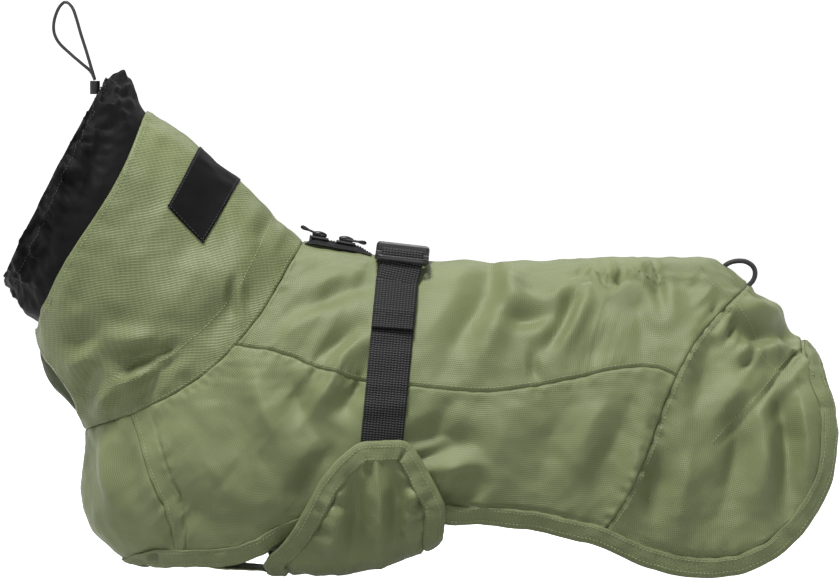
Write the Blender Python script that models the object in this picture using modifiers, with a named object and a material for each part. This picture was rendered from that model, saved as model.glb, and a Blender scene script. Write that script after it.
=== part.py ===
"""Dog raincoat, worn shape without a wearer: a hollow cloth body with collar, snood, belly flap and strap.

Sizes are in millimetres and are scaled to metres as each mesh is made. +X runs to the tail, -Y is the
dog's left side, +Z is up, and the origin is on the inner face of the back, halfway along it.
"""
import math

import bmesh
import bpy
import numpy as np
from mathutils import Vector
from mathutils.bvhtree import BVHTree

# ---------------------------------------------------------------- driving dimensions (mm)
MM = 0.001
WALL = 1.2              # one layer of coated cloth with its seam allowance
GAP = 0.3               # clearance between separate pieces
SEAM = 0.15             # what each panel gives up at a seam
NECK_SEAM = 0.6         # the same at the neck, where collar and body meet at an angle
BINDING = 0.9           # thickness of the hem binding
BINDING_WIDTH = 11.0    # outer leg of the binding
BINDING_TURN = 4.5      # a row of the panels near the hem, under the binding
BINDING_LIP = 0.3       # how far it turns past the inner face
BINDING_ROWS = (0.45, 1.0)
EDGE_GAP = 0.8          # clearance of the edge inside its binding
LYING_GAP = 0.5         # clearance of a strip that lies along curved cloth
PROBE = 6.0             # from how far above the cloth that clearance is measured
SNOOD_WALL = 1.6
SNOOD_PLEATS = 18       # folds round the gathered rim
SNOOD_PLEAT_DEPTH = 1.5
WEBBING_WIDTH = 25.0
WEBBING = 1.4
LABEL = 1.0
CORD = 2.0              # neck drawcord diameter
TAIL_CORD = 2.5
ZIP_FRONT_X = -79.5
ZIP_REAR_X = -40.5
ZIP_SLOT = 3.5          # half width of the slot in the back panel
SLIDER_LENGTH = 11.4
FRONT_SLIDER_X = -73.5
REAR_SLIDER_X = -57.5
PULL_LENGTH = 12.0
PULL_WIRE = 1.2
PULL_HALF_WIDTH = 2.6
FRONT_PULL_LIFT = 14.0  # degrees above the zip, as worn
REAR_PULL_LIFT = 0.0
# Half profile of a zip tape, tented up to the bead that holds its teeth: across and up from the cloth.
TAPE_PROFILE = ((9.5, 1.15), (9.5, 2.0), (2.5, 4.2), (2.5, 5.0), (0.9, 5.0), (0.9, 3.2), (2.3, 3.2))
TAPE_ENDS = (0.4, 0.6)
# A slider across the zip: lower plate, post and upper plate. Its bridge along the zip carries the pull.
SLIDER_OUTLINE = (
    (-3.0, 1.6), (3.0, 1.6), (3.0, 2.5), (0.6, 2.5), (0.6, 5.3), (4.2, 5.3), (4.2, 6.2),
    (-4.2, 6.2), (-4.2, 5.3), (-0.6, 5.3), (-0.6, 2.5), (-3.0, 2.5),
)
BRIDGE_OUTLINE = (
    (-2.6, 6.0), (-1.4, 6.0), (-1.4, 8.3), (1.4, 8.3), (1.4, 6.0), (2.6, 6.0), (2.6, 9.0), (-2.6, 9.0),
)
BRIDGE_HALF_WIDTH = 1.0
HINGE_HEIGHT = 7.3      # the pull's axis, over the cloth
BUCKLE_X = -22.8
BUCKLE_HALF = 16.0      # half of its width along the spine
BUCKLE_BASE_Z = 3.8
BUCKLE_THICK = 8.4
BUCKLE_TILT = 6.6       # degrees, with the slope of the back
STRAP_SECTION = 10      # the body section that the strap follows
STRAP_FOOT_Z = -114.0   # its sewn end, under the top of the flap
STRAP_TOP_REACH = 25.0  # how far from the spine it lifts off the cloth, and its returning tail
TAIL_TOP_REACH = 33.0
STRAP_CLEARANCE = 0.4   # from the cloth, and from the strap to its tail
NEAR_TAIL_Z = -39.0
FAR_TAIL_Z = -28.0
# The strap over the bar of the buckle: distance from the spine and height over the buckle's base.
STRAP_TURNS = ((20.6, -1.2), (20.2, 2.0), (21.4, 4.6), (25.0, 5.2), (28.2, 4.4), (29.6, 1.4), (30.6, -2.4))

# Body sections from the neck seam (0) to the tail opening (24). The spine and hem columns are places in
# the side view, wrap is the angle from spine to hem (180 closes under the chest), and bow and skew bend
# the section in the side view. The seam column is the share of the depth at which the side seam runs.
# Columns: spine_x, spine_z, hem_x, hem_z, half_width, wrap, bow, skew, seam
WRAP_COLUMN = 5
SEAM_COLUMN = 8
RUMP_SEAM = 17
CHEST_END = 5
FRONT_HEM_END = 9.5
SECTIONS = (
    (-82.8, 12.0, -211.6, -98.6, 50.0, 180.0, 21.0, 0.0, 0.393),
    (-74.0, 10.5, -213.8, -118.0, 53.0, 180.0, 20.0, 0.0, 0.355),
    (-66.0, 9.0, -214.6, -139.0, 56.0, 180.0, 18.0, 0.0, 0.320),
    (-58.0, 7.8, -208.5, -158.0, 59.0, 180.0, 16.0, 0.0, 0.305),
    (-51.0, 6.4, -196.0, -170.5, 61.0, 180.0, 14.0, 0.0, 0.300),
    (-46.0, 5.4, -184.0, -177.4, 63.0, 180.0, 12.0, 0.0, 0.305),
    (-41.0, 4.5, -167.0, -177.4, 64.0, 154.0, 10.0, 0.0, 0.320),
    (-36.5, 3.7, -146.0, -176.4, 65.0, 141.0, 8.0, 0.0, 0.340),
    (-32.0, 2.8, -119.0, -173.8, 66.0, 133.0, 5.0, 0.0, 0.365),
    (-28.0, 2.0, -85.7, -157.8, 66.0, 127.0, 2.0, 0.0, 0.420),
    (-24.5, 1.2, -38.5, -145.0, 66.0, 122.0, 0.0, 0.0, 0.476),
    (-6.0, 0.4, 0.0, -149.5, 66.0, 120.0, 0.0, 0.0, 0.481),
    (24.0, 0.0, 32.0, -151.0, 65.0, 119.0, -1.0, 0.0, 0.487),
    (60.0, 0.6, 55.0, -153.8, 64.0, 118.0, -2.0, -1.0, 0.460),
    (95.0, 2.6, 66.0, -156.2, 64.0, 117.0, -4.0, -2.0, 0.438),
    (130.0, 2.6, 75.0, -158.2, 64.0, 116.0, -6.0, -4.0, 0.414),
    (163.0, 1.0, 83.5, -160.2, 64.0, 116.0, -7.0, -5.0, 0.400),
    (184.8, -12.0, 91.6, -162.4, 64.0, 115.0, -8.0, -6.0, 0.393),
    (193.0, -20.6, 120.4, -174.8, 64.0, 113.0, -6.0, -4.0, 0.393),
    (200.0, -27.2, 149.2, -181.2, 63.0, 111.0, -4.0, -2.0, 0.393),
    (206.0, -34.6, 180.5, -178.4, 61.0, 108.0, -2.0, 0.0, 0.393),
    (211.0, -41.0, 208.8, -160.4, 58.0, 105.0, 0.0, 0.0, 0.393),
    (215.6, -45.0, 228.0, -130.6, 54.0, 102.0, 0.0, 0.0, 0.393),
    (220.0, -49.4, 233.0, -104.0, 48.0, 96.0, 0.0, 0.0, 0.393),
    (224.6, -54.0, 232.0, -84.0, 41.0, 90.0, 0.0, 0.0, 0.393),
)
# Where the seam between chest and side panels crosses each body section, as a share of its depth.
CHEST_SEAM = ((0, 0.8275), (1, 0.800), (2, 0.780), (3, 0.785), (4, 0.810), (5, 0.850), (6, 0.930), (6.5, 1.0))

# Rings of the collar from the neck seam to the mouth, and of the snood from inside the collar to its rim.
# Columns: nape_x, nape_z, throat_x, throat_z, half_width, bow, skew
COLLAR = (
    (-82.8, 12.0, -211.6, -98.6, 50.0, 21.0, 0.0),
    (-101.0, 30.5, -223.0, -86.0, 50.0, 17.0, 0.0),
    (-124.0, 51.5, -234.0, -73.0, 49.0, 12.0, 1.0),
    (-150.0, 73.5, -240.5, -58.0, 48.0, 6.0, 2.0),
    (-175.5, 92.0, -242.2, -40.0, 47.0, 2.0, 3.0),
)
SNOOD = (
    (-152.5, 72.5, -236.6, -53.4, 46.2, 6.0, 2.0),
    (-175.5, 90.0, -238.8, -37.4, 45.2, 2.0, 3.0),
    (-183.0, 101.5, -247.5, -30.0, 43.5, 1.0, 2.0),
    (-190.5, 110.5, -253.0, -22.0, 42.0, 0.0, 1.0),
    (-198.5, 110.5, -258.0, -15.0, 41.0, 0.0, 0.0),
    (-204.0, 102.5, -261.5, -9.0, 40.0, 0.0, 0.0),
)
SNOOD_MOUTH = 1.0       # the snood ring that lies at the collar's mouth
LABEL_RINGS = (1.88, 2.80)
LABEL_WRAP = 0.322
COLLAR_EDGE = 0.975     # where the collar's edges end at its neck seam and its mouth
COLLAR_ARCH = 0.09      # how far they draw back between the two
COLLAR_COLUMNS = 13     # each side of the nape
GUSSET_WRAP = 0.855     # the gusset starts here, behind the edges of the collar
GUSSET_DEPTH = 1.4      # and lies this far inside it
GUSSET_COLUMNS = 6
SNOOD_PLACES = (0.0, 1.0, 1.7, 2.4, 3.1, 3.8, 4.4, 5.0)
SNOOD_PLEAT_ROWS = 3.0  # rings over which the pleats grow
LABEL_GAP = 0.5
LABEL_ROWS = 3
LABEL_COLUMNS = 12

# The belly panel's keel: height, squareness and half width of the section that wraps up round the belly.
# Columns: x, bottom_z, square, half_width
KEELS = (
    (-190.0, -177.8, 3.2, 70.5),
    (-165.0, -179.0, 3.2, 70.5),
    (-138.0, -180.0, 3.2, 70.5),
    (-117.0, -181.8, 3.2, 70.5),
    (-100.0, -183.2, 3.2, 70.5),
    (-78.0, -184.4, 3.2, 70.4),
    (-57.0, -184.4, 3.2, 69.6),
    (-35.0, -179.8, 3.3, 69.4),
    (-12.0, -170.4, 4.0, 69.5),
    (0.0, -163.0, 5.0, 70.0),
    (6.0, -159.0, 5.2, 70.0),
)
BELLY_CENTRE_Z = -91.0
# Outline of the flap: for each angle up from the keel, where its front and rear edges lie.
# Columns: angle, front_x, rear_x
FLAPS = (
    (0.0, -102.0, 0.0),
    (6.0, -102.0, 0.0),
    (12.0, -102.0, 0.0),
    (18.0, -102.0, 0.0),
    (26.0, -101.2, -0.3),
    (33.0, -103.6, -0.5),
    (40.0, -100.5, -0.5),
    (45.0, -93.8, 0.8),
    (50.0, -88.0, 1.8),
    (55.0, -83.0, 1.2),
    (62.0, -76.5, -3.2),
    (69.0, -70.0, -8.3),
    (76.0, -60.3, -13.8),
    (82.0, -48.5, -20.3),
)
STRIP_ROW = 3           # the flap row that the strip's edge runs into
STRIP_SETBACK = 2.2     # from the hem of the chest to the front of the strip
STRIP_MIDDLE_X = -150.0

# Folds: a line in the side view from (x0, z0) to (x1, z1), its half width, and its height (- is a trough).
# Columns: x0, z0, x1, z1, spread, height
BODY_FOLDS = (
    (28.0, -4.0, 2.0, -58.0, 9.0, -3.0),
    (40.0, -10.0, 18.0, -56.0, 9.0, 2.2),
    (42.0, -6.0, 66.0, -24.0, 9.0, -2.8),
    (64.0, -24.0, 92.0, -8.0, 9.0, -2.6),
    (98.0, -14.0, 72.0, -56.0, 10.0, -2.6),
    (118.0, -18.0, 96.0, -50.0, 11.0, 2.0),
    (128.0, -2.0, 133.0, -32.0, 7.0, -3.0),
    (-88.0, -38.0, -56.0, -12.0, 9.0, -2.4),
    (-92.0, -66.0, -56.0, -98.0, 10.0, -2.6),
    (-72.0, -62.0, -50.0, -80.0, 8.0, 1.8),
    (-112.0, -66.0, -78.0, -112.0, 11.0, 2.2),
    (6.0, -136.0, 40.0, -104.0, 9.0, 2.4),
    (14.0, -112.0, 52.0, -92.0, 9.0, -2.2),
)
RUMP_FOLDS = (
    (180.0, -48.0, 208.0, -34.0, 7.0, -3.6),
    (174.0, -58.0, 214.0, -50.0, 9.0, 2.2),
    (203.0, -84.0, 208.0, -156.0, 8.0, -4.0),
    (190.0, -92.0, 192.0, -160.0, 9.0, 2.6),
    (172.0, -108.0, 158.0, -172.0, 9.0, -2.8),
    (126.0, -138.0, 116.0, -168.0, 8.0, -2.6),
    (140.0, -128.0, 132.0, -172.0, 9.0, 2.4),
)
COLLAR_FOLDS = (
    (-166.0, -50.0, -194.0, -66.0, 8.0, -3.4),
    (-162.0, -62.0, -190.0, -78.0, 8.0, 2.4),
    (-128.0, -16.0, -142.0, -44.0, 9.0, -2.4),
    (-196.0, -4.0, -168.0, -36.0, 14.0, 2.0),
)
FAR_SIDE_SHIFT = 5.0    # the same folds lie a little further back on the far side
FAR_SIDE_DEPTH = 0.85
FLAT = 0.02             # folds lower than this are left out

# Rows and columns of the panels.
BACK_COLUMNS = 6        # each side of the spine
SIDE_ROWS = 5
CHEST_ROWS = 5
FLAP_COLUMNS = 8
STRIP_COLUMNS = 6

# Route of the neck drawcord, from the cord end up, over and back down to it.
NECK_CORD = (
    (-206.7, -1.5, 110.4), (-208.6, -2.6, 117.0), (-211.5, -3.2, 127.0), (-215.0, -3.0, 138.0),
    (-217.8, -2.0, 147.6), (-220.4, -0.6, 154.0), (-224.4, 0.6, 157.0), (-228.4, 1.6, 153.4),
    (-231.2, 2.2, 146.0), (-231.4, 2.6, 139.0), (-228.4, 2.8, 132.6), (-221.6, 2.8, 126.0),
    (-214.6, 2.6, 120.0), (-209.4, 2.2, 115.4), (-206.9, 1.5, 110.4),
)
CORD_END = (-206.75, 0.0, 105.8)
CORD_END_HEIGHT = 8.0
CORD_END_RADIUS = 3.0
# Route of the elastic loop at the root of the tail.
TAIL_LOOP = (
    (171.4, 0.0, -0.7), (172.8, 0.0, 2.1), (176.4, 0.0, 4.6), (181.2, 0.0, 4.4), (185.8, 0.0, 2.2),
    (188.6, 0.0, -1.8), (188.9, 0.0, -5.6), (187.9, 0.0, -8.8), (186.65, 0.0, -11.05),
)

# ---------------------------------------------------------------- colours
OLIVE = (0.235, 0.265, 0.125)
OLIVE_DARK = (0.10, 0.115, 0.055)
BLACK_CLOTH = (0.018, 0.017, 0.018)
BLACK_WEB = (0.012, 0.012, 0.013)
PLASTIC = (0.02, 0.02, 0.022)
GREY_TAPE = (0.06, 0.062, 0.066)


def material(name, colour, roughness, metallic=0.0):
    """One Principled material."""
    mat = bpy.data.materials.new(name)
    mat.use_nodes = True
    shader = mat.node_tree.nodes["Principled BSDF"]
    shader.inputs["Base Color"].default_value = (*colour, 1.0)
    shader.inputs["Roughness"].default_value = roughness
    shader.inputs["Metallic"].default_value = metallic
    return mat


# ---------------------------------------------------------------- interpolation and surfaces
def smooth(rows, place):
    """A row read at a fractional place in a table, on a Catmull-Rom curve through its rows."""
    last = len(rows) - 1
    place = min(max(place, 0.0), float(last))
    i = min(int(place), last - 1)
    f = place - i
    p1 = np.array(rows[i], float)
    p2 = np.array(rows[i + 1], float)
    p0 = np.array(rows[i - 1], float) if i > 0 else 2 * p1 - p2
    p3 = np.array(rows[i + 2], float) if i + 2 <= last else 2 * p2 - p1
    return p1 + 0.5 * f * ((p2 - p0) + f * ((2 * p0 - 5 * p1 + 4 * p2 - p3) + f * (3 * (p1 - p2) + p3 - p0)))


def between(rows, x):
    """The columns after the first of a table, at x, on straight lines between its rows."""
    keys = [row[0] for row in rows]
    return [float(np.interp(x, keys, [row[k] for row in rows])) for k in range(1, len(rows[0]))]


def fold_height(folds, x, z, side):
    """Height of all the folds at a place in the side view."""
    if side > 0:
        x = x - FAR_SIDE_SHIFT
    total = 0.0
    for x0, z0, x1, z1, spread, height in folds:
        run = (x1 - x0) ** 2 + (z1 - z0) ** 2
        along = min(max(((x - x0) * (x1 - x0) + (z - z0) * (z1 - z0)) / run, 0.0), 1.0)
        off = math.hypot(x - x0 - along * (x1 - x0), z - z0 - along * (z1 - z0))
        total += height * math.exp(-(off / spread) ** 2) * (0.35 + 0.65 * math.sin(math.pi * along))
    return total * (FAR_SIDE_DEPTH if side > 0 else 1.0)


def ring_point(top, bottom, half_width, wrap, bow, skew, angle):
    """A point of a section: top and bottom lie in the side view, and angle is 0 at the top."""
    share = (1 - math.cos(angle)) / (1 - math.cos(wrap))
    chord = np.array(bottom) - np.array(top)
    across = np.array((-chord[1], chord[0])) / np.linalg.norm(chord)
    bend = bow * math.sin(math.pi * min(share, 1.0)) + skew * math.sin(2 * math.pi * min(share, 1.0))
    place = np.array(top) + chord * share + across * bend
    return np.array((place[0], half_width * math.sin(angle), place[1]))


def wrap_angle(u):
    """The angle from spine to hem of a body section."""
    return math.radians(min(smooth(SECTIONS, u)[WRAP_COLUMN], 180.0))


def body_plain(u, t):
    """The body without folds. t runs from 0 at the spine to 1 at the near hem and -1 at the far hem."""
    sx, sz, hx, hz, half, _, bow, skew, _ = smooth(SECTIONS, u)
    wrap = wrap_angle(u)
    point = ring_point((sx, sz), (hx, hz), half, wrap, bow, skew, abs(t) * wrap)
    point[1] *= -1 if t > 0 else 1
    return point


def collar_plain(v, t):
    """The collar without folds, v counting its rings from the neck seam."""
    nx, nz, tx, tz, half, bow, skew = smooth(COLLAR, v)
    point = ring_point((nx, nz), (tx, tz), half, math.pi, bow, skew, abs(t) * math.pi)
    point[1] *= -1 if t > 0 else 1
    return point


class Cloth:
    """A cloth surface of two parameters, with folds laid along its outward normals."""

    def __init__(self, plain, folds=(), facing=1.0):
        self.plain = plain
        self.folds = folds
        self.facing = facing

    def differences(self, function, a, b):
        """Outward normal and the two tangents, by differences."""
        along_a = (function(a + 0.02, b) - function(a - 0.02, b)) / 0.04
        along_b = (function(a, b + 0.01) - function(a, b - 0.01)) / 0.02
        normal = np.cross(along_b, along_a) * self.facing
        return normal / max(np.linalg.norm(normal), 1e-9), along_a, along_b

    def at(self, a, b):
        """A point with its folds."""
        point = self.plain(a, b)
        height = fold_height(self.folds, point[0], point[2], point[1])
        if abs(height) < FLAT:
            return point
        return point + self.differences(self.plain, a, b)[0] * height

    def normal(self, a, b):
        """Outward normal of the folded surface."""
        return self.differences(self.at, a, b)[0]

    def off(self, a, b, distance):
        """A point moved out from the cloth."""
        return self.at(a, b) + self.normal(a, b) * distance

    def step(self, a, b, direction, distance, parts=6):
        """The parameters a distance away from (a, b), walked along the surface in a direction."""
        for _ in range(parts):
            normal, along_a, along_b = self.differences(self.plain, a, b)
            direction = direction - normal * np.dot(direction, normal)
            direction /= np.linalg.norm(direction)
            tangents = np.stack((along_a, along_b), axis=1)
            change, *_ = np.linalg.lstsq(tangents, direction * distance / parts, rcond=None)
            a, b = a + change[0], b + change[1]
        return a, b


body = Cloth(body_plain, BODY_FOLDS + RUMP_FOLDS)
collar = Cloth(collar_plain, COLLAR_FOLDS, facing=-1.0)


def snood(v, t):
    """The snood: a ring that is smooth inside the collar and pleated towards its rim."""
    nx, nz, tx, tz, half, bow, skew = smooth(SNOOD, v)
    point = ring_point((nx, nz), (tx, tz), half, math.pi, bow, skew, abs(t) * math.pi)
    point[1] *= -1 if t > 0 else 1
    grown = min(max(v - SNOOD_MOUTH, 0.0) / SNOOD_PLEAT_ROWS, 1.0)
    centre = np.array(((nx + tx) / 2, 0.0, (nz + tz) / 2))
    outward = (point - centre) / np.linalg.norm(point - centre)
    return point + outward * SNOOD_PLEAT_DEPTH * grown * math.cos(math.pi * SNOOD_PLEATS * t)


def belly(x, angle):
    """The belly panel: a squared lower half ring, its angle 0 at the keel and signed to each side."""
    bottom, square, half = between(KEELS, x)
    depth = BELLY_CENTRE_Z - bottom
    sine, cosine = abs(math.sin(angle)), abs(math.cos(angle))
    reach = (sine ** square + cosine ** square) ** (-1 / square)
    side = -1 if angle > 0 else 1
    return np.array((x, side * half * sine * reach, BELLY_CENTRE_Z - depth * cosine * reach))


belly_cloth = Cloth(belly, (), facing=-1.0)


def share_to_t(u, share):
    """The t at which a body section has gone a share of its depth."""
    wrap = wrap_angle(u)
    return math.acos(max(min(1 - share * (1 - math.cos(wrap)), 1.0), -1.0)) / wrap


def side_seam(u):
    """The t of the side seam on a body section."""
    return share_to_t(u, smooth(SECTIONS, u)[SEAM_COLUMN])


# ---------------------------------------------------------------- mesh building
def collection_for(name):
    """A collection in the scene."""
    group = bpy.data.collections.new(name)
    bpy.context.scene.collection.children.link(group)
    return group


def clear_scene():
    """Remove every object of the open scene."""
    for obj in list(bpy.data.objects):
        bpy.data.objects.remove(obj, do_unlink=True)


def add_mesh(name, points, faces, mat, group):
    """A mesh object from points in millimetres."""
    mesh = bpy.data.meshes.new(name)
    mesh.from_pydata([tuple(float(c) * MM for c in p) for p in points], [], faces)
    mesh.validate()
    mesh.shade_smooth()
    mesh.set_sharp_from_angle(angle=math.radians(40))
    obj = bpy.data.objects.new(name, mesh)
    obj.data.materials.append(mat)
    group.objects.link(obj)
    return obj


def grid_faces(rows, columns, start=0, closed=False):
    """Quads of a grid, facing outward for points that run tailward by row and spine to hem by column."""
    faces = []
    for i in range(rows - 1):
        for j in range(columns if closed else columns - 1):
            k = (j + 1) % columns
            a, b = start + i * columns + j, start + i * columns + k
            faces.append((a, b, b + columns, a + columns))
    return faces


def pull_in(grid, first=0.0, last=0.0, left=0.0, right=0.0):
    """Draw the border rows and columns of a grid in, by a distance each, to leave the seam gaps."""
    def moved(edge, inner, distance):
        way = inner - edge
        return edge + way / np.maximum(np.linalg.norm(way, axis=-1, keepdims=True), 1e-9) * distance
    if first:
        grid[0] = moved(grid[0], grid[1], first)
    if last:
        grid[-1] = moved(grid[-1], grid[-2], last)
    if left:
        grid[:, 0] = moved(grid[:, 0], grid[:, 1], left)
    if right:
        grid[:, -1] = moved(grid[:, -1], grid[:, -2], right)
    return grid


def shell(name, grids, mat, group, wall, outward=True, closed=False):
    """A cloth wall: one or more grids welded into a surface and given its thickness."""
    points, faces = [], []
    for grid in grids:
        rows, columns = grid.shape[:2]
        faces += grid_faces(rows, columns, len(points), closed)
        points += list(grid.reshape(-1, 3))
    obj = add_mesh(name, points, faces, mat, group)
    work = bmesh.new()
    work.from_mesh(obj.data)
    bmesh.ops.remove_doubles(work, verts=work.verts, dist=0.00002)
    for edge in work.edges:
        edge.smooth = not edge.is_boundary
    work.to_mesh(obj.data)
    work.free()
    thick = obj.modifiers.new("Wall", "SOLIDIFY")
    thick.thickness = wall * MM
    thick.offset = 1.0 if outward else -1.0
    thick.use_even_offset = True
    return obj


def closed_sweep(name, rings, mat, group, looped=False):
    """A solid through rings of equal point counts, with flat ends unless it is looped."""
    count = len(rings[0])
    points = [p for ring in rings for p in ring]
    faces = []
    for i in range(len(rings) if looped else len(rings) - 1):
        k = (i + 1) % len(rings)
        for j in range(count):
            m = (j + 1) % count
            faces.append((i * count + j, i * count + m, k * count + m, k * count + j))
    if not looped:
        faces.append(tuple(range(count))[::-1])
        faces.append(tuple((len(rings) - 1) * count + j for j in range(count)))
    obj = add_mesh(name, points, faces, mat, group)
    work = bmesh.new()
    work.from_mesh(obj.data)
    bmesh.ops.recalc_face_normals(work, faces=work.faces)
    work.to_mesh(obj.data)
    work.free()
    return obj


def skin_of(panels):
    """A search tree of finished panels, in millimetres."""
    graph = bpy.context.evaluated_depsgraph_get()
    points, faces = [], []
    for panel in panels:
        mesh = panel.evaluated_get(graph).data
        start = len(points)
        points += [vert.co / MM for vert in mesh.vertices]
        faces += [[start + k for k in face.vertices] for face in mesh.polygons]
    return BVHTree.FromPolygons(points, faces)


def shortfall(skin, point, up):
    """How much a point over the skin lacks of its lying gap."""
    high = Vector(point + up * PROBE)
    place, _, _, _ = skin.ray_cast(high, Vector(-up), PROBE * 2)
    return 0.0 if place is None else LYING_GAP - float(np.dot(point - np.array(place), up))


def lifted(skin, legs, ups, passes=3):
    """The points of a lying strip, lifted until all of it clears the skin under it."""
    shares = np.linspace(0.0, 1.0, 5)
    for _ in range(passes):
        lift = np.zeros(legs.shape[:2])
        for i in range(legs.shape[0] - 1):
            for j in range(legs.shape[1] - 1):
                cell = (slice(i, i + 2), slice(j, j + 2))
                for a in shares:
                    for b in shares:
                        weights = np.outer((1 - a, a), (1 - b, b))[..., None]
                        point, up = (legs[cell] * weights).sum((0, 1)), (ups[cell] * weights).sum((0, 1))
                        lift[cell] = np.maximum(lift[cell], shortfall(skin, point, up / np.linalg.norm(up)))
        legs = legs + ups * lift[..., None]
    return legs


def binding(name, cloth, path, inside, skin, mat, group):
    """A strip on the outside of a wall, turned over its edge. inside holds inner places by the path's."""
    edge = np.array([cloth.at(a, b) for a, b in path])
    low = WALL + LYING_GAP
    legs, ups, inners = [], [], []
    for i in range(len(path)):
        tangent = edge[min(i + 1, len(edge) - 1)] - edge[max(i - 1, 0)]
        tangent /= np.linalg.norm(tangent)
        inner = cloth.at(*inside[i]) - edge[i]
        inner -= tangent * np.dot(inner, tangent)
        inner /= np.linalg.norm(inner)
        normal = cloth.normal(*inside[i])
        normal -= inner * np.dot(normal, inner)
        normal /= np.linalg.norm(normal)
        places = [cloth.step(*inside[i], inner, BINDING_WIDTH * share) for share in BINDING_ROWS]
        legs.append([edge[i] + normal * low] + [cloth.off(*place, low) for place in places])
        ups.append([normal] + [cloth.normal(*place) for place in places])
        inners.append(inner)
    ups = np.array(ups)
    legs = lifted(skin, np.array(legs), ups)
    rings = []
    for i, inner in enumerate(inners):
        foot = edge[i] - ups[i][0] * BINDING_LIP
        under = [legs[i][0] - inner * EDGE_GAP] + list(legs[i][1:])
        over = [legs[i][0] - inner * (EDGE_GAP + BINDING) + ups[i][0] * BINDING]
        over += [leg + up * BINDING for leg, up in zip(legs[i][1:], ups[i][1:])]
        rings.append(over[::-1] + [foot - inner * (EDGE_GAP + BINDING), foot - inner * EDGE_GAP] + under)
    return closed_sweep(name, rings, mat, group)


def box(name, low, high, mat, group):
    """A box between two corners."""
    work = bmesh.new()
    bmesh.ops.create_cube(work, size=1.0)
    size = [high[k] - low[k] for k in range(3)]
    middle = [(high[k] + low[k]) / 2 for k in range(3)]
    for vert in work.verts:
        vert.co = [(vert.co[k] * size[k] + middle[k]) * MM for k in range(3)]
    mesh = bpy.data.meshes.new(name)
    work.to_mesh(mesh)
    work.free()
    obj = bpy.data.objects.new(name, mesh)
    if mat:
        obj.data.materials.append(mat)
    group.objects.link(obj)
    return obj


def boolean(obj, other, operation):
    """Cut or join one solid with another, which becomes a hidden guide."""
    change = obj.modifiers.new(operation.title(), "BOOLEAN")
    change.operation = operation
    change.object = other
    change.solver = "EXACT"
    other.hide_render = True
    other.display_type = "WIRE"


def soften(obj, width):
    """A small bevel on hard edges."""
    edge = obj.modifiers.new("Edges", "BEVEL")
    edge.width = width * MM
    edge.segments = 2
    edge.limit_method = "ANGLE"
    edge.angle_limit = math.radians(50)


def tube(name, route, diameter, mat, group, resolution=2, cyclic=False):
    """A cord or wire along a route of points."""
    curve = bpy.data.curves.new(name, "CURVE")
    curve.dimensions = "3D"
    curve.bevel_depth = diameter / 2 * MM
    curve.bevel_resolution = resolution
    curve.use_fill_caps = True
    spline = curve.splines.new("POLY")
    spline.points.add(len(route) - 1)
    for point, place in zip(spline.points, route):
        point.co = (place[0] * MM, place[1] * MM, place[2] * MM, 1.0)
    spline.use_cyclic_u = cyclic
    obj = bpy.data.objects.new(name, curve)
    obj.data.materials.append(mat)
    group.objects.link(obj)
    return obj


def evenly(route, spacing):
    """Points at an even spacing along a smooth curve through a route."""
    fine = np.array([smooth(route, s) for s in np.linspace(0, len(route) - 1, 40 * len(route))])
    run = np.concatenate(([0.0], np.cumsum(np.linalg.norm(np.diff(fine, axis=0), axis=1))))
    count = max(int(round(run[-1] / spacing)), 3)
    return [np.array([np.interp(d, run, fine[:, k]) for k in range(3)])
            for d in np.linspace(0, run[-1], count + 1)]


# ---------------------------------------------------------------- cloth panels
def columns_between(start, end, parts=2):
    """Section places from start to end, each section interval split into equal parts."""
    count = int(round((end - start) * parts))
    return [start + (end - start) * i / count for i in range(count + 1)]


def hem_levels(u, top, parts):
    """t values from a top level down to the hem, the last two rows under the binding."""
    point = body_plain(u, 1.0)
    slope = np.linalg.norm(point - body_plain(u, 0.98)) / 0.02
    wide, turn = 1 - BINDING_WIDTH / slope, 1 - BINDING_TURN / slope
    return [top + (wide - top) * i / parts for i in range(parts + 1)] + [turn, 1.0]


def make_back(mat, group, cutters):
    """The back panel, with the slot for its zip."""
    rows = []
    for u in columns_between(0, RUMP_SEAM):
        edge = side_seam(u)
        rows.append([body.at(u, edge * k / BACK_COLUMNS) for k in range(-BACK_COLUMNS, BACK_COLUMNS + 1)])
    grid = pull_in(np.array(rows), NECK_SEAM, SEAM, SEAM, SEAM)
    obj = shell("back_panel", [grid], mat, group, WALL)
    slot = box("zip_slot", (ZIP_FRONT_X, -ZIP_SLOT, -20), (ZIP_REAR_X, ZIP_SLOT, 40), None, cutters)
    boolean(obj, slot, "DIFFERENCE")
    return obj


def lower_level(u):
    """The lower edge of the side panel: the chest seam, and then the hem."""
    share = between(CHEST_SEAM, u)[0]
    return share_to_t(u, share) if share < 1 else 1.0


def make_side(side, mat, group):
    """One side panel, from the side seam down to the chest seam and the hem."""
    sign = 1 if side == "left" else -1
    rows = []
    for u in columns_between(0, RUMP_SEAM):
        top, bottom = side_seam(u), lower_level(u)
        levels = hem_levels(u, top, SIDE_ROWS) if bottom >= 1 else np.linspace(top, bottom, SIDE_ROWS + 3)
        rows.append([body.at(u, sign * t) for t in levels])
    grid = np.array(rows)
    closing = int(round(CHEST_SEAM[-1][0] * 2))
    grid = pull_in(grid, NECK_SEAM, SEAM, SEAM, 0.0)
    grid[:closing] = pull_in(grid[:closing].copy(), 0.0, 0.0, 0.0, SEAM)
    if sign < 0:
        grid = grid[:, ::-1]
    return shell(f"side_panel_{side}", [grid], mat, group, WALL)


def make_chest(mat, group):
    """The chest panel, from one chest seam round the breast to the other."""
    halves = []
    us = columns_between(0, 6)
    for sign in (1, -1):
        rows = []
        for u in us:
            rows.append([body.at(u, sign * t) for t in np.linspace(lower_level(u), 1, CHEST_ROWS + 1)])
        grid = pull_in(np.array(rows), NECK_SEAM, 0.0, SEAM, 0.0)
        halves.append(grid if sign > 0 else grid[:, ::-1])
    return shell("chest_panel", halves, mat, group, WALL)


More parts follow.
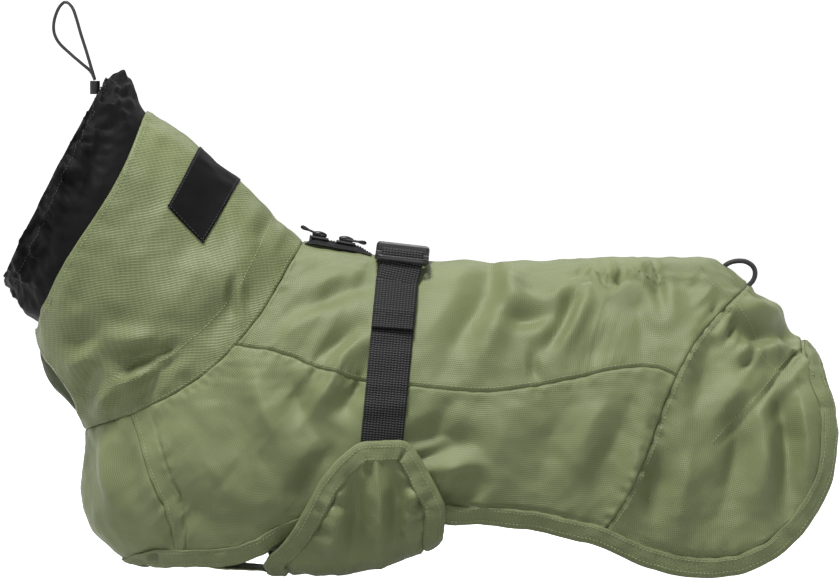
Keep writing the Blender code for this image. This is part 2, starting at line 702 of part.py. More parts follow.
def rump_levels(u):
    """t values of a rump section, which meet those of the back and side panels at the seam."""
    seam = side_seam(u)
    return [seam * k / BACK_COLUMNS for k in range(BACK_COLUMNS)] + hem_levels(u, seam, SIDE_ROWS)


def make_rump(mat, group):
    """The rump panel, over the croup and down both thighs."""
    rows = []
    us = columns_between(RUMP_SEAM, len(SECTIONS) - 1)
    for u in us:
        levels = rump_levels(u)
        rows.append([body.at(u, -t) for t in levels[::-1]] + [body.at(u, t) for t in levels[1:]])
    grid = pull_in(np.array(rows), SEAM, 0.0, 0.0, 0.0)
    return shell("rump_panel", [grid], mat, group, WALL)


def make_front_hem(skin, mat, group):
    """The binding of the front hem, from one side panel round under the chest to the other."""
    us = columns_between(CHEST_END, FRONT_HEM_END)
    near = [(u, 1.0) for u in us[::-1]]
    near_in = [(u - 0.05, 0.994) for u in us[::-1][:-1]] + [(CHEST_END - 0.1, 1.0)]
    path = near + [(u, -t) for u, t in near[::-1][1:]]
    inside = near_in + [(u, -t) for u, t in near_in[::-1][1:]]
    return binding("front_hem", body, path, inside, skin, mat, group)


def make_rear_hem(skin, mat, group):
    """The binding of the rear hem, from the strap round the tail opening to the other side."""
    last = len(SECTIONS) - 1
    us = columns_between(FRONT_HEM_END, last)[1:]
    arch = rump_levels(last)[::-1][2:]
    near = [(u, 1.0) for u in us] + [(last, t) for t in arch]
    near_in = [(u, 0.994) for u in us[:-1]] + [(last - 0.05, 0.994)] + [(last - 0.08, t) for t in arch]
    path = near + [(u, -t) for u, t in near[::-1][1:]]
    inside = near_in + [(u, -t) for u, t in near_in[::-1][1:]]
    return binding("rear_hem", body, path, inside, skin, mat, group)


def make_belly(mat, group):
    """The belly panel: a strip behind the chest that widens to the flap."""
    grids = []
    for sign in (1, -1):
        rows = []
        for angle, front, rear in FLAPS:
            rows.append([belly(x, sign * math.radians(angle))
                         for x in np.linspace(front, rear, FLAP_COLUMNS + 1)])
        flap = np.array(rows)
        strip_rows = []
        for row in range(STRIP_ROW + 1):
            angle = sign * math.radians(FLAPS[row][0])
            start = strip_front_x(abs(belly(STRIP_MIDDLE_X, angle)[1]))
            strip_rows.append([belly(x, angle) for x in np.linspace(start, FLAPS[row][1], STRIP_COLUMNS + 1)])
        strip = np.array(strip_rows)
        for grid in (flap, strip):
            grid = grid.transpose(1, 0, 2)
            grids.append(grid[:, ::-1] if sign > 0 else grid)
    return shell("belly_panel", grids, mat, group, WALL)


def strip_front_x(reach):
    """Where the strip starts behind the bound hem of the chest, at a distance from the middle."""
    places = [body_plain(u, 1.0) for u in columns_between(CHEST_END, 7, 4)]
    return float(np.interp(reach, [abs(p[1]) for p in places], [p[0] for p in places])) + STRIP_SETBACK


def make_flap_binding(skin, mat, group):
    """The binding round the flap: up its front edge, along the top and down its elastic rear edge."""
    def edges(sign):
        path, inner = [], []
        for angle, front, _ in FLAPS[STRIP_ROW:]:
            path.append((front, sign * math.radians(angle)))
            inner.append((front + 0.6, sign * math.radians(angle)))
        top, front, rear = FLAPS[-1]
        for k in (1, 2, 3):
            path.append((front + (rear - front) * k / 4, sign * math.radians(top)))
            inner.append((front + (rear - front) * k / 4, sign * math.radians(top - 0.4)))
        for angle, _, rear in FLAPS[::-1]:
            path.append((rear, sign * math.radians(angle)))
            inner.append((rear - 0.6, sign * math.radians(angle)))
        return path, inner
    near, near_in = edges(1)
    far, far_in = edges(-1)
    path, inside = near + far[::-1][1:], near_in + far_in[::-1][1:]
    return binding("flap_binding", belly_cloth, path, inside, skin, mat, group)


def make_collar(mat, group):
    """The collar, a tube whose edges stop short of the throat."""
    rows = []
    for v in columns_between(0, len(COLLAR) - 1):
        wrap = COLLAR_EDGE - COLLAR_ARCH * math.sin(math.pi * v / (len(COLLAR) - 1))
        rows.append([collar.at(v, t) for t in np.linspace(wrap, -wrap, 2 * COLLAR_COLUMNS + 1)])
    grid = pull_in(np.array(rows), NECK_SEAM, 0.0, 0.0, 0.0)
    return shell("collar", [grid], mat, group, WALL)


def make_gusset(mat, group):
    """The throat gusset, behind the edges of the collar."""
    rows = []
    for v in columns_between(0, len(COLLAR) - 1):
        row = []
        for t in np.linspace(2 - GUSSET_WRAP, GUSSET_WRAP, GUSSET_COLUMNS + 1):
            row.append(collar.off(v, t if t <= 1 else t - 2, -GUSSET_DEPTH))
        rows.append(row)
    grid = pull_in(np.array(rows), NECK_SEAM + GAP, GUSSET_DEPTH, 0.0, 0.0)
    return shell("throat_gusset", [grid], mat, group, WALL, outward=False)


def make_snood(mat, group):
    """The snood, from inside the collar out to its gathered rim."""
    rows = []
    count = SNOOD_PLEATS * 3
    for v in SNOOD_PLACES:
        rows.append([snood(v, 1 - 2 * k / count) for k in range(count)])
    return shell("snood", [np.array(rows)], mat, group, SNOOD_WALL, outward=False, closed=True)


def make_label(mat, group):
    """The bare patch over the nape."""
    grid = np.array([[collar.off(v, t, WALL + LABEL_GAP)
                      for t in np.linspace(LABEL_WRAP, -LABEL_WRAP, LABEL_COLUMNS + 1)]
                     for v in np.linspace(*LABEL_RINGS, LABEL_ROWS + 1)])
    return shell("label_patch", [grid], mat, group, LABEL)


# ---------------------------------------------------------------- strap and buckle
def strap_places(sign, offset, top_reach, bottom_z, count):
    """Middle points of the strap on the body and its crosswise directions, from the spine down."""
    section = [(t, body_plain(STRAP_SECTION, t)) for t in np.linspace(0.01, 0.99, 197)]
    lying = [t for t, place in section if abs(place[1]) >= top_reach and place[2] >= bottom_z]
    places = []
    for i in range(count):
        t = sign * lying[round(i * (len(lying) - 1) / (count - 1))]
        normal, wide, _ = body.differences(body.plain, STRAP_SECTION, t)
        wide /= np.linalg.norm(wide)
        middle = body.at(STRAP_SECTION, t)
        beside = [body.at(*body.step(STRAP_SECTION, t, wide, WEBBING_WIDTH * share))
                  for share in (-0.5, -0.3, 0.3, 0.5)]
        lift = max([0.0] + [float(np.dot(p - middle, normal)) for p in beside])
        places.append((middle + normal * (offset + lift), wide))
    return places


def make_strap(side, tail_z, mat, group):
    """One strap: up the body, through the buckle's slot, over its bar and back down as a tail."""
    sign = 1 if side == "left" else -1
    low = WALL + STRAP_CLEARANCE + WEBBING / 2
    lower = strap_places(sign, low, STRAP_TOP_REACH, STRAP_FOOT_Z, 14)
    upper = strap_places(sign, low + STRAP_CLEARANCE + WEBBING, TAIL_TOP_REACH, tail_z, 7)
    tilt = math.radians(BUCKLE_TILT)
    across = np.array((math.cos(tilt), 0.0, -math.sin(tilt)))
    around = [(np.array((BUCKLE_X + z * math.sin(tilt), -sign * y, BUCKLE_BASE_Z + z)), across)
              for y, z in STRAP_TURNS]
    route = lower[::-1] + around + upper
    rings = []
    for i, (point, wide) in enumerate(route):
        tangent = route[min(i + 1, len(route) - 1)][0] - route[max(i - 1, 0)][0]
        tangent /= np.linalg.norm(tangent)
        wide = wide - tangent * np.dot(wide, tangent)
        wide /= np.linalg.norm(wide)
        up = np.cross(wide, tangent)
        rings.append([point + wide * (a * WEBBING_WIDTH / 2) + up * (b * WEBBING / 2)
                      for a, b in ((-1, -1), (1, -1), (1, 1), (-1, 1))])
    return closed_sweep(f"strap_{side}", rings, mat, group)


def make_buckle(mat, group, cutters):
    """The side-release buckle across the spine: a socket on the near side and a plug on the far side."""
    frame = bpy.data.objects.new("buckle_frame", None)
    frame.location = (BUCKLE_X * MM, 0.0, BUCKLE_BASE_Z * MM)
    frame.rotation_euler = (0.0, math.radians(BUCKLE_TILT), 0.0)
    cutters.objects.link(frame)
    w, top, rail_low, rail_high = BUCKLE_HALF, BUCKLE_THICK, -1.6, 3.4

    def block(name, low, high, bevel=0.0, part=False):
        obj = box(name, low, high, mat if part else None, group if part else cutters)
        obj.parent = frame
        if bevel:
            soften(obj, bevel)
        return obj

    socket = block("buckle_socket", (-w, -15.5, 0), (w, 8.0, top), 2.0, part=True)
    boolean(socket, block("socket_frame", (-w, -27.0, rail_low), (w, -14.0, rail_high), 1.0), "UNION")
    cuts = (
        ("socket_cavity", (-13, -11.5, 2.0), (13, 12.0, top - 2.0)),
        ("socket_windows", (-20, -7.0, 1.6), (20, 2.0, top - 1.6)),
        ("socket_slot", (-13.8, -23.6, -9), (13.8, -16.6, 20)),
    )
    for name, low, high in cuts:
        boolean(socket, block(name, low, high), "DIFFERENCE")
    plug = block("buckle_plug", (-w, 8.0 + GAP, 0), (w, 15.5, top - 0.6), 1.4, part=True)
    boolean(plug, block("plug_frame", (-w, 14.0, rail_low), (w, 27.0, rail_high), 1.0), "UNION")
    tongues = (
        ("plug_guide", (-3, -3.0, 2.8), (3, 9.0, top - 2.8)),
        ("plug_arm_front", (-12.4, -3.0, 2.6), (-9.0, 9.0, top - 2.6)),
        ("plug_arm_rear", (9.0, -3.0, 2.6), (12.4, 9.0, top - 2.6)),
        ("plug_catch_front", (-15.0, -6.4, 2.5), (-9.2, 1.4, top - 2.5)),
        ("plug_catch_rear", (9.2, -6.4, 2.5), (15.0, 1.4, top - 2.5)),
    )
    for name, low, high in tongues:
        boolean(plug, block(name, low, high), "UNION")
    boolean(plug, block("plug_slot", (-13.8, 16.6, -9), (13.8, 23.6, 20)), "DIFFERENCE")


# ---------------------------------------------------------------- zip
def zip_frame():
    """Middle of the zip and its slope along the spine."""
    def spine_z(x):
        us = np.linspace(0, 11, 200)
        places = [smooth(SECTIONS, u) for u in us]
        return float(np.interp(x, [p[0] for p in places], [p[1] for p in places]))
    front, rear = spine_z(ZIP_FRONT_X), spine_z(ZIP_REAR_X)
    slope = math.atan2(rear - front, ZIP_REAR_X - ZIP_FRONT_X)
    return np.array((ZIP_FRONT_X, 0.0, front)), slope


def on_zip(along, y, up):
    """A point in the zip's own frame: along the spine from its front end, across, and up from the cloth."""
    start, slope = zip_frame()
    return start + np.array((along * math.cos(slope) - up * math.sin(slope), y,
                             along * math.sin(slope) + up * math.cos(slope)))


def make_zip_tape(side, mat, group):
    """One zip tape, tented up to the bead that holds its teeth."""
    y = -1 if side == "left" else 1
    length = (ZIP_REAR_X - ZIP_FRONT_X) / math.cos(zip_frame()[1])
    places = (TAPE_ENDS[0], length / 2, length - TAPE_ENDS[1])
    rings = [[on_zip(along, y * across, up) for across, up in TAPE_PROFILE] for along in places]
    return closed_sweep(f"zip_tape_{side}", rings, mat, group)


def make_slider(name, x, mat, group, cutters):
    """A slider: plates above and below the beads, a post between them and a bridge for its pull."""
    along = (x - ZIP_FRONT_X) / math.cos(zip_frame()[1])
    half = SLIDER_LENGTH / 2
    rings = [[on_zip(along + s, y, z) for y, z in SLIDER_OUTLINE] for s in (-half, half)]
    plates = closed_sweep(name, rings, mat, group)
    rings = [[on_zip(along + s, y, z) for s, z in BRIDGE_OUTLINE]
             for y in (-BRIDGE_HALF_WIDTH, BRIDGE_HALF_WIDTH)]
    bridge = closed_sweep(name + "_bridge", rings, mat, cutters)
    boolean(plates, bridge, "UNION")
    return plates


def make_pull(name, x, way, lift, mat, group):
    """A wire pull loop on its slider, its origin on the hinge axis."""
    along = (x - ZIP_FRONT_X) / math.cos(zip_frame()[1])
    pivot = on_zip(along, 0.0, HINGE_HEIGHT)
    half, end = PULL_HALF_WIDTH, PULL_LENGTH
    corner = 1.4
    loop = [(0.0, -half + corner), (0.0, 0.0), (0.0, half - corner), (0.4, half - 0.4), (corner, half)]
    loop += [(end * 0.5, half), (end - 2.0, half), (end - 0.6, half - 0.8), (end, half - 2.0)]
    loop += [(end, -half + 2.0), (end - 0.6, -half + 0.8), (end - 2.0, -half), (end * 0.5, -half)]
    loop += [(corner, -half), (0.4, -half + 0.4)]
    angle = math.radians(lift) + way * zip_frame()[1]
    route = [(way * a * math.cos(angle), b, a * math.sin(angle)) for a, b in loop]
    obj = tube(name, route, PULL_WIRE, mat, group, cyclic=True)
    obj.location = [c * MM for c in pivot]
    return obj


# ---------------------------------------------------------------- the whole garment
def main():
    clear_scene()
    group = collection_for("dog_raincoat")
    cutters = collection_for("cutters")
    shell_cloth = material("shell_cloth", OLIVE, 0.55)
    collar_cloth = material("collar_cloth", OLIVE, 0.5)
    gusset_cloth = material("gusset_cloth", OLIVE_DARK, 0.6)
    snood_cloth = material("snood_cloth", BLACK_CLOTH, 0.75)
    edging = material("edging", OLIVE, 0.55)
    webbing = material("webbing", BLACK_WEB, 0.7)
    patch = material("patch", BLACK_WEB, 0.6)
    plastic = material("plastic", PLASTIC, 0.4)
    tape = material("tape", GREY_TAPE, 0.6)
    metal = material("metal", PLASTIC, 0.35, 0.6)
    elastic = material("elastic", BLACK_WEB, 0.6)

    make_back(shell_cloth, group, cutters)
    walls = [make_side("left", shell_cloth, group), make_side("right", shell_cloth, group),
             make_chest(shell_cloth, group), make_rump(shell_cloth, group)]
    belly_panel = make_belly(shell_cloth, group)
    bpy.context.view_layer.update()
    make_front_hem(skin_of(walls), edging, group)
    make_rear_hem(skin_of(walls), edging, group)
    make_flap_binding(skin_of([belly_panel]), edging, group)

    make_collar(collar_cloth, group)
    make_gusset(gusset_cloth, group)
    make_snood(snood_cloth, group)
    make_label(patch, group)

    make_strap("left", NEAR_TAIL_Z, webbing, group)
    make_strap("right", FAR_TAIL_Z, webbing, group)
    make_buckle(plastic, group, cutters)

    make_zip_tape("left", tape, group)
    make_zip_tape("right", tape, group)
    make_slider("zip_slider_front", FRONT_SLIDER_X, metal, group, cutters)
    make_slider("zip_slider_rear", REAR_SLIDER_X, metal, group, cutters)
    make_pull("zip_pull_front", FRONT_SLIDER_X, -1, FRONT_PULL_LIFT, elastic, group)
    make_pull("zip_pull_rear", REAR_SLIDER_X, 1, REAR_PULL_LIFT, elastic, group)

    tube("neck_cord", evenly(NECK_CORD, CORD * 2.4), CORD, elastic, group)
    tube("tail_loop", evenly(TAIL_LOOP, TAIL_CORD), TAIL_CORD, elastic, group)
    bpy.ops.mesh.primitive_cylinder_add(vertices=16, radius=CORD_END_RADIUS * MM, depth=CORD_END_HEIGHT * MM,
                                        location=[c * MM for c in CORD_END])
    lock = bpy.context.object
    lock.name = "cord_end"
    lock.data.materials.append(plastic)
    for holder in list(lock.users_collection):
        holder.objects.unlink(lock)
    group.objects.link(lock)


main()
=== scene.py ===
"""Dog raincoat, filled out as worn: thin cloth, sewing, webbing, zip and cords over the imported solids.

+X runs to the tail, -Y is the dog's left side, +Z is up and the origin is on the inner face of the back.
Surfaces are worked out in millimetres and become metres as each mesh is made. Creases are placed in the
pixels of the photograph's side view, which SideView turns into millimetres.
"""
from __future__ import annotations

import logging
import math
from dataclasses import dataclass, field
from enum import Enum
from typing import Callable

import bmesh
import bpy
import numpy as np
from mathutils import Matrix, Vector
from mathutils.bvhtree import BVHTree


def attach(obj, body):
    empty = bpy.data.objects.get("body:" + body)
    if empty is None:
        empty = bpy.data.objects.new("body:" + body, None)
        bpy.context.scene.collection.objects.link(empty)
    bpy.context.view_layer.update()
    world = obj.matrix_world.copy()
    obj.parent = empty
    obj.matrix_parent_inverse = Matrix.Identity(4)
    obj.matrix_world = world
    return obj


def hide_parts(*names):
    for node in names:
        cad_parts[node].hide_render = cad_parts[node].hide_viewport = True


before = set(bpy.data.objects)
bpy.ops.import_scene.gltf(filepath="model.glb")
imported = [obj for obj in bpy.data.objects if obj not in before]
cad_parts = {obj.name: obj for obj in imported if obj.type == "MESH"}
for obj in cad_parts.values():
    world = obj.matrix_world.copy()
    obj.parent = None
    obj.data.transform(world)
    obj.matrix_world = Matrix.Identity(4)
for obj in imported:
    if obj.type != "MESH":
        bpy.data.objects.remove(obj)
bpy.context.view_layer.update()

LOG = logging.getLogger("dog_raincoat")
MM = 0.001
WALL = 1.2              # the outer face of the cloth over the form's own surface
TURN = 2 * math.pi
Array = np.ndarray


# ---------------------------------------------------------------- the coat's form
# Columns: spine_x, spine_z, hem_x, hem_z, half_width, wrap, bow, skew, seam
SECTIONS = (
    (-82.8, 12.0, -211.6, -98.6, 50.0, 180.0, 21.0, 0.0, 0.393),
    (-74.0, 10.5, -213.8, -118.0, 53.0, 180.0, 20.0, 0.0, 0.355),
    (-66.0, 9.0, -214.6, -139.0, 56.0, 180.0, 18.0, 0.0, 0.320),
    (-58.0, 7.8, -208.5, -158.0, 59.0, 180.0, 16.0, 0.0, 0.305),
    (-51.0, 6.4, -196.0, -170.5, 61.0, 180.0, 14.0, 0.0, 0.300),
    (-46.0, 5.4, -184.0, -177.4, 63.0, 180.0, 12.0, 0.0, 0.305),
    (-41.0, 4.5, -167.0, -177.4, 64.0, 154.0, 10.0, 0.0, 0.320),
    (-36.5, 3.7, -146.0, -176.4, 65.0, 141.0, 8.0, 0.0, 0.340),
    (-32.0, 2.8, -119.0, -173.8, 66.0, 133.0, 5.0, 0.0, 0.365),
    (-28.0, 2.0, -85.7, -157.8, 66.0, 127.0, 2.0, 0.0, 0.420),
    (-24.5, 1.2, -38.5, -145.0, 66.0, 122.0, 0.0, 0.0, 0.476),
    (-6.0, 0.4, 0.0, -149.5, 66.0, 120.0, 0.0, 0.0, 0.481),
    (24.0, 0.0, 32.0, -151.0, 65.0, 119.0, -1.0, 0.0, 0.487),
    (60.0, 0.6, 55.0, -153.8, 64.0, 118.0, -2.0, -1.0, 0.460),
    (95.0, 2.6, 66.0, -156.2, 64.0, 117.0, -4.0, -2.0, 0.438),
    (130.0, 2.6, 75.0, -158.2, 64.0, 116.0, -6.0, -4.0, 0.414),
    (163.0, 1.0, 83.5, -160.2, 64.0, 116.0, -7.0, -5.0, 0.400),
    (184.8, -12.0, 91.6, -162.4, 64.0, 115.0, -8.0, -6.0, 0.393),
    (193.0, -20.6, 120.4, -174.8, 64.0, 113.0, -6.0, -4.0, 0.393),
    (200.0, -27.2, 149.2, -181.2, 63.0, 111.0, -4.0, -2.0, 0.393),
    (206.0, -34.6, 180.5, -178.4, 61.0, 108.0, -2.0, 0.0, 0.393),
    (211.0, -41.0, 208.8, -160.4, 58.0, 105.0, 0.0, 0.0, 0.393),
    (215.6, -45.0, 228.0, -130.6, 54.0, 102.0, 0.0, 0.0, 0.393),
    (220.0, -49.4, 233.0, -104.0, 48.0, 96.0, 0.0, 0.0, 0.393),
    (224.6, -54.0, 232.0, -84.0, 41.0, 90.0, 0.0, 0.0, 0.393),
)
CHEST_END, RUMP_SEAM, LAST_SECTION = 5, 17, 24
# Columns: body section, share of its depth at which the chest seam crosses it
CHEST_SEAM = ((0, 0.8275), (1, 0.800), (2, 0.780), (3, 0.785), (4, 0.810), (5, 0.850), (6, 0.930), (6.5, 1.0))
# Columns: nape_x, nape_z, throat_x, throat_z, half_width, bow, skew
COLLAR_RINGS = (
    (-82.8, 12.0, -211.6, -98.6, 50.0, 21.0, 0.0),
    (-101.0, 30.5, -223.0, -86.0, 50.0, 17.0, 0.0),
    (-124.0, 51.5, -234.0, -73.0, 49.0, 12.0, 1.0),
    (-150.0, 73.5, -240.5, -58.0, 48.0, 6.0, 2.0),
    (-175.5, 92.0, -242.2, -40.0, 47.0, 2.0, 3.0),
)
SNOOD_RINGS = (
    (-152.5, 72.5, -236.6, -53.4, 46.2, 6.0, 2.0),
    (-175.5, 90.0, -238.8, -37.4, 45.2, 2.0, 3.0),
    (-183.0, 101.5, -247.5, -30.0, 43.5, 1.0, 2.0),
    (-190.5, 110.5, -253.0, -22.0, 42.0, 0.0, 1.0),
    (-198.5, 110.5, -258.0, -15.0, 41.0, 0.0, 0.0),
    (-204.0, 102.5, -261.5, -9.0, 40.0, 0.0, 0.0),
)
# Columns: x, bottom_z, square, half_width
KEELS = (
    (-190.0, -177.8, 3.2, 70.5),
    (-165.0, -179.0, 3.2, 70.5),
    (-138.0, -180.0, 3.2, 70.5),
    (-117.0, -181.8, 3.2, 70.5),
    (-100.0, -183.2, 3.2, 70.5),
    (-78.0, -184.4, 3.2, 70.4),
    (-57.0, -184.4, 3.2, 69.6),
    (-35.0, -179.8, 3.3, 69.4),
    (-12.0, -170.4, 4.0, 69.5),
    (0.0, -163.0, 5.0, 70.0),
    (6.0, -159.0, 5.2, 70.0),
)
BELLY_CENTRE_Z = -91.0
# Columns: angle, front_x, rear_x
FLAPS = (
    (0.0, -102.0, 0.0),
    (6.0, -102.0, 0.0),
    (12.0, -102.0, 0.0),
    (18.0, -102.0, 0.0),
    (26.0, -101.2, -0.3),
    (33.0, -103.6, -0.5),
    (40.0, -100.5, -0.5),
    (45.0, -93.8, 0.8),
    (50.0, -88.0, 1.8),
    (55.0, -83.0, 1.2),
    (62.0, -76.5, -3.2),
    (69.0, -70.0, -8.3),
    (76.0, -60.3, -13.8),
    (80.0, -52.2, -17.6),
    (81.6, -48.2, -20.6),
    (82.2, -44.5, -24.0),
)
STRIP_ROW = 3


@dataclass(frozen=True)
class SideView:
    """Turns a pixel of the photograph's side view into millimetres on the coat's near side."""

    scale: float = 0.587
    left_x: float = -258.5
    top_z: float = 156.9

    def place(self, px: float, py: float) -> tuple[float, float]:
        """The (x, z) of a pixel, in millimetres."""
        return self.left_x + px * self.scale, self.top_z - py * self.scale


SIDE_VIEW = SideView()


def read_rows(table: tuple, place: Array) -> Array:
    """Rows of a table at fractional places, on Catmull-Rom curves through them.

    Args:
        table: rows of numbers.
        place: an array of places, counted in rows.

    Returns:
        The places' rows, in one more dimension than place.
    """
    rows = np.array(table, float)
    last = len(rows) - 1
    place = np.clip(np.asarray(place, float), 0.0, last)
    i = np.minimum(place.astype(int), last - 1)
    f = (place - i)[..., None]
    full = np.vstack((2 * rows[0] - rows[1], rows, 2 * rows[-1] - rows[-2]))
    p0, p1, p2, p3 = (full[i + k] for k in range(4))
    return p1 + 0.5 * f * ((p2 - p0) + f * ((2 * p0 - 5 * p1 + 4 * p2 - p3) + f * (3 * (p1 - p2) + p3 - p0)))


def unit(vectors: Array) -> Array:
    """Vectors at length one."""
    return vectors / np.maximum(np.linalg.norm(vectors, axis=-1, keepdims=True), 1e-9)


def ease(value: Array, low: float, high: float) -> Array:
    """A smooth rise from 0 at low to 1 at high."""
    share = np.clip((value - low) / (high - low), 0.0, 1.0)
    return share * share * (3 - 2 * share)


def ring(rows: Array, wrap: Array, turn: Array) -> Array:
    """Points on sections whose top and bottom lie in the side view.

    Args:
        rows: top_x, top_z, bottom_x, bottom_z, half_width, bow and skew of each point's section.
        wrap: the angle from top to bottom, in radians.
        turn: the share of that angle, positive on the near side.

    Returns:
        The points.
    """
    angle = np.abs(turn) * wrap
    share = np.minimum((1 - np.cos(angle)) / (1 - np.cos(wrap)), 1.0)
    top, chord = rows[..., 0:2], rows[..., 2:4] - rows[..., 0:2]
    across = unit(np.stack((-chord[..., 1], chord[..., 0]), -1))
    bend = rows[..., 5] * np.sin(math.pi * share) + rows[..., 6] * np.sin(2 * math.pi * share)
    place = top + chord * share[..., None] + across * bend[..., None]
    return np.stack((place[..., 0], -np.sign(turn) * rows[..., 4] * np.sin(angle), place[..., 1]), -1)


def wrap_of(u: Array) -> Array:
    """The angle from spine to hem of body sections."""
    return np.radians(np.minimum(read_rows(SECTIONS, u)[..., 5], 180.0))


def body_plain(u: Array, t: Array) -> Array:
    """The body without folds: t is 0 at the spine, 1 at the near hem and -1 at the far hem."""
    rows = read_rows(SECTIONS, u)
    return ring(rows[..., [0, 1, 2, 3, 4, 6, 7]], wrap_of(u), t)


def collar_plain(v: Array, t: Array) -> Array:
    """The collar without folds, v counting its rings from the neck seam."""
    return ring(read_rows(COLLAR_RINGS, v), np.full(np.shape(t), math.pi), t)


def snood_plain(v: Array, t: Array) -> Array:
    """The snood without its gathers."""
    return ring(read_rows(SNOOD_RINGS, v), np.full(np.shape(t), math.pi), t)


def belly_plain(x: Array, angle: Array) -> Array:
    """The belly panel: a squared lower half ring, its angle 0 at the keel."""
    keys = [row[0] for row in KEELS]
    bottom, square, half = (np.interp(x, keys, [row[k] for row in KEELS]) for k in (1, 2, 3))
    sine, cosine = np.abs(np.sin(angle)), np.abs(np.cos(angle))
    reach = (sine ** square + cosine ** square) ** (-1 / square)
    side = -np.sign(angle)
    return np.stack((x + 0 * angle, side * half * sine * reach,
                     BELLY_CENTRE_Z - (BELLY_CENTRE_Z - bottom) * cosine * reach), -1)


def share_to_t(u: Array, share: Array) -> Array:
    """The t at which a body section has gone a share of its depth."""
    wrap = wrap_of(u)
    return np.arccos(np.clip(1 - share * (1 - np.cos(wrap)), -1.0, 1.0)) / wrap


def side_seam(u: Array) -> Array:
    """The t of the side seam."""
    return share_to_t(u, read_rows(SECTIONS, u)[..., 8])


def lower_edge(u: Array) -> Array:
    """The t of the side panels' lower edge: the chest seam, and then the hem."""
    keys, shares = zip(*CHEST_SEAM)
    share = np.interp(u, keys, shares)
    return np.where(share < 0.9999, share_to_t(u, share), 1.0)


# ---------------------------------------------------------------- creases
@dataclass(frozen=True)
class Creases:
    """Soft troughs and ridges along short curves of the side view, similar on the far side.

    Each row holds the pixels of a start, a middle and an end, then the half width and the height in
    millimetres, where a trough is negative. shoulder raises the cloth beside a trough.
    """

    rows: tuple
    shoulder: float = 0.30
    roundness: float = 0.03
    scale: float = 1.45
    far_shift: float = 5.0
    far_depth: float = 0.85
    meeting: float = 7.0
    steps: int = 8

    def one_side(self, x: Array, z: Array, shift: float) -> Array:
        """The height of all rows at places of the side view, shifted tailwards."""
        total = np.zeros_like(x)
        for x0, y0, xm, ym, x1, y1, spread, height in self.rows:
            a, m, b = (np.array(SIDE_VIEW.place(*p)) for p in ((x0, y0), (xm, ym), (x1, y1)))
            s = np.linspace(0, 1, self.steps + 1)[:, None]
            control = 2 * m - (a + b) / 2
            line = a * (1 - s) ** 2 + control * 2 * s * (1 - s) + b * s ** 2 + np.array((shift, 0.0))
            best, along = np.full_like(x, 1e9), np.zeros_like(x)
            for k in range(self.steps):
                way = line[k + 1] - line[k]
                f = np.clip(((x - line[k][0]) * way[0] + (z - line[k][1]) * way[1]) / (way @ way), 0, 1)
                off = np.hypot(x - line[k][0] - f * way[0], z - line[k][1] - f * way[1])
                nearer = off < best
                best, along = np.where(nearer, off, best), np.where(nearer, (k + f) / self.steps, along)
            taper = 0.25 + 0.75 * np.sin(math.pi * along)
            off = np.sqrt((best / spread) ** 2 + self.roundness)
            profile = np.exp(-off ** 1.5) - self.shoulder * np.exp(-((off - 1.9) / 0.9) ** 2)
            total += height * taper * profile
        return total

    def heights(self, points: Array) -> Array:
        """The heights at points of the plain surface."""
        x, y, z = points[..., 0], points[..., 1], points[..., 2]
        far = ease(y, -self.meeting, self.meeting)
        near_heights = self.one_side(x, z, 0.0)
        far_heights = self.one_side(x, z, self.far_shift) * self.far_depth
        return (near_heights * (1 - far) + far_heights * far) * self.scale


@dataclass(frozen=True)
class Crumple:
    """A faint unevenness all over: soft waves, and fine sharp ones that run in warped lines."""

    height: float = 0.38
    shortest: float = 12.0
    longest: float = 60.0
    waves: int = 22
    sharp: float = 0.52
    warp: float = 7.0
    seed: int = 5

    def heights(self, points: Array) -> Array:
        """The heights at points."""
        chance = np.random.default_rng(self.seed)
        total, fine = np.zeros(points.shape[:-1]), np.zeros(points.shape[:-1])
        warped = points + self.warp * np.sin(points[..., [1, 2, 0]] / 13.0 + chance.uniform(0, 6.28, 3))
        for _ in range(self.waves):
            way = unit(chance.normal(size=3)) * 2 * math.pi / chance.uniform(self.shortest, self.longest)
            size, phase = chance.uniform(0.4, 1.0), chance.uniform(0, 6.28)
            total += np.sin(points @ way + phase) * size
            fine += (0.36 - np.abs(np.sin(warped @ way + phase))) * size * chance.choice((-1, 1))
        return (total * self.height * 1.4 + fine * self.sharp * 2.4) / math.sqrt(self.waves)


@dataclass(frozen=True)
class Surface:
    """A cloth surface of two parameters with its creases; facing turns its normals outward."""

    plain: Callable[[Array, Array], Array]
    creases: tuple = ()
    facing: float = 1.0
    lift: float = WALL

    def tangents(self, a: Array, b: Array) -> tuple[Array, Array, Array]:
        """The outward normals and the tangents along both parameters."""
        along_a = (self.plain(a + 0.02, b) - self.plain(a - 0.02, b)) / 0.04
        along_b = (self.plain(a, b + 0.01) - self.plain(a, b - 0.01)) / 0.02
        return unit(np.cross(along_b, along_a) * self.facing), along_a, along_b

    def at(self, a: Array, b: Array) -> Array:
        """Points on the outer face of the cloth."""
        points = self.plain(a, b)
        height = np.full(points.shape[:-1], self.lift)
        for crease in self.creases:
            height = height + crease.heights(points)
        return points + self.tangents(a, b)[0] * height[..., None]


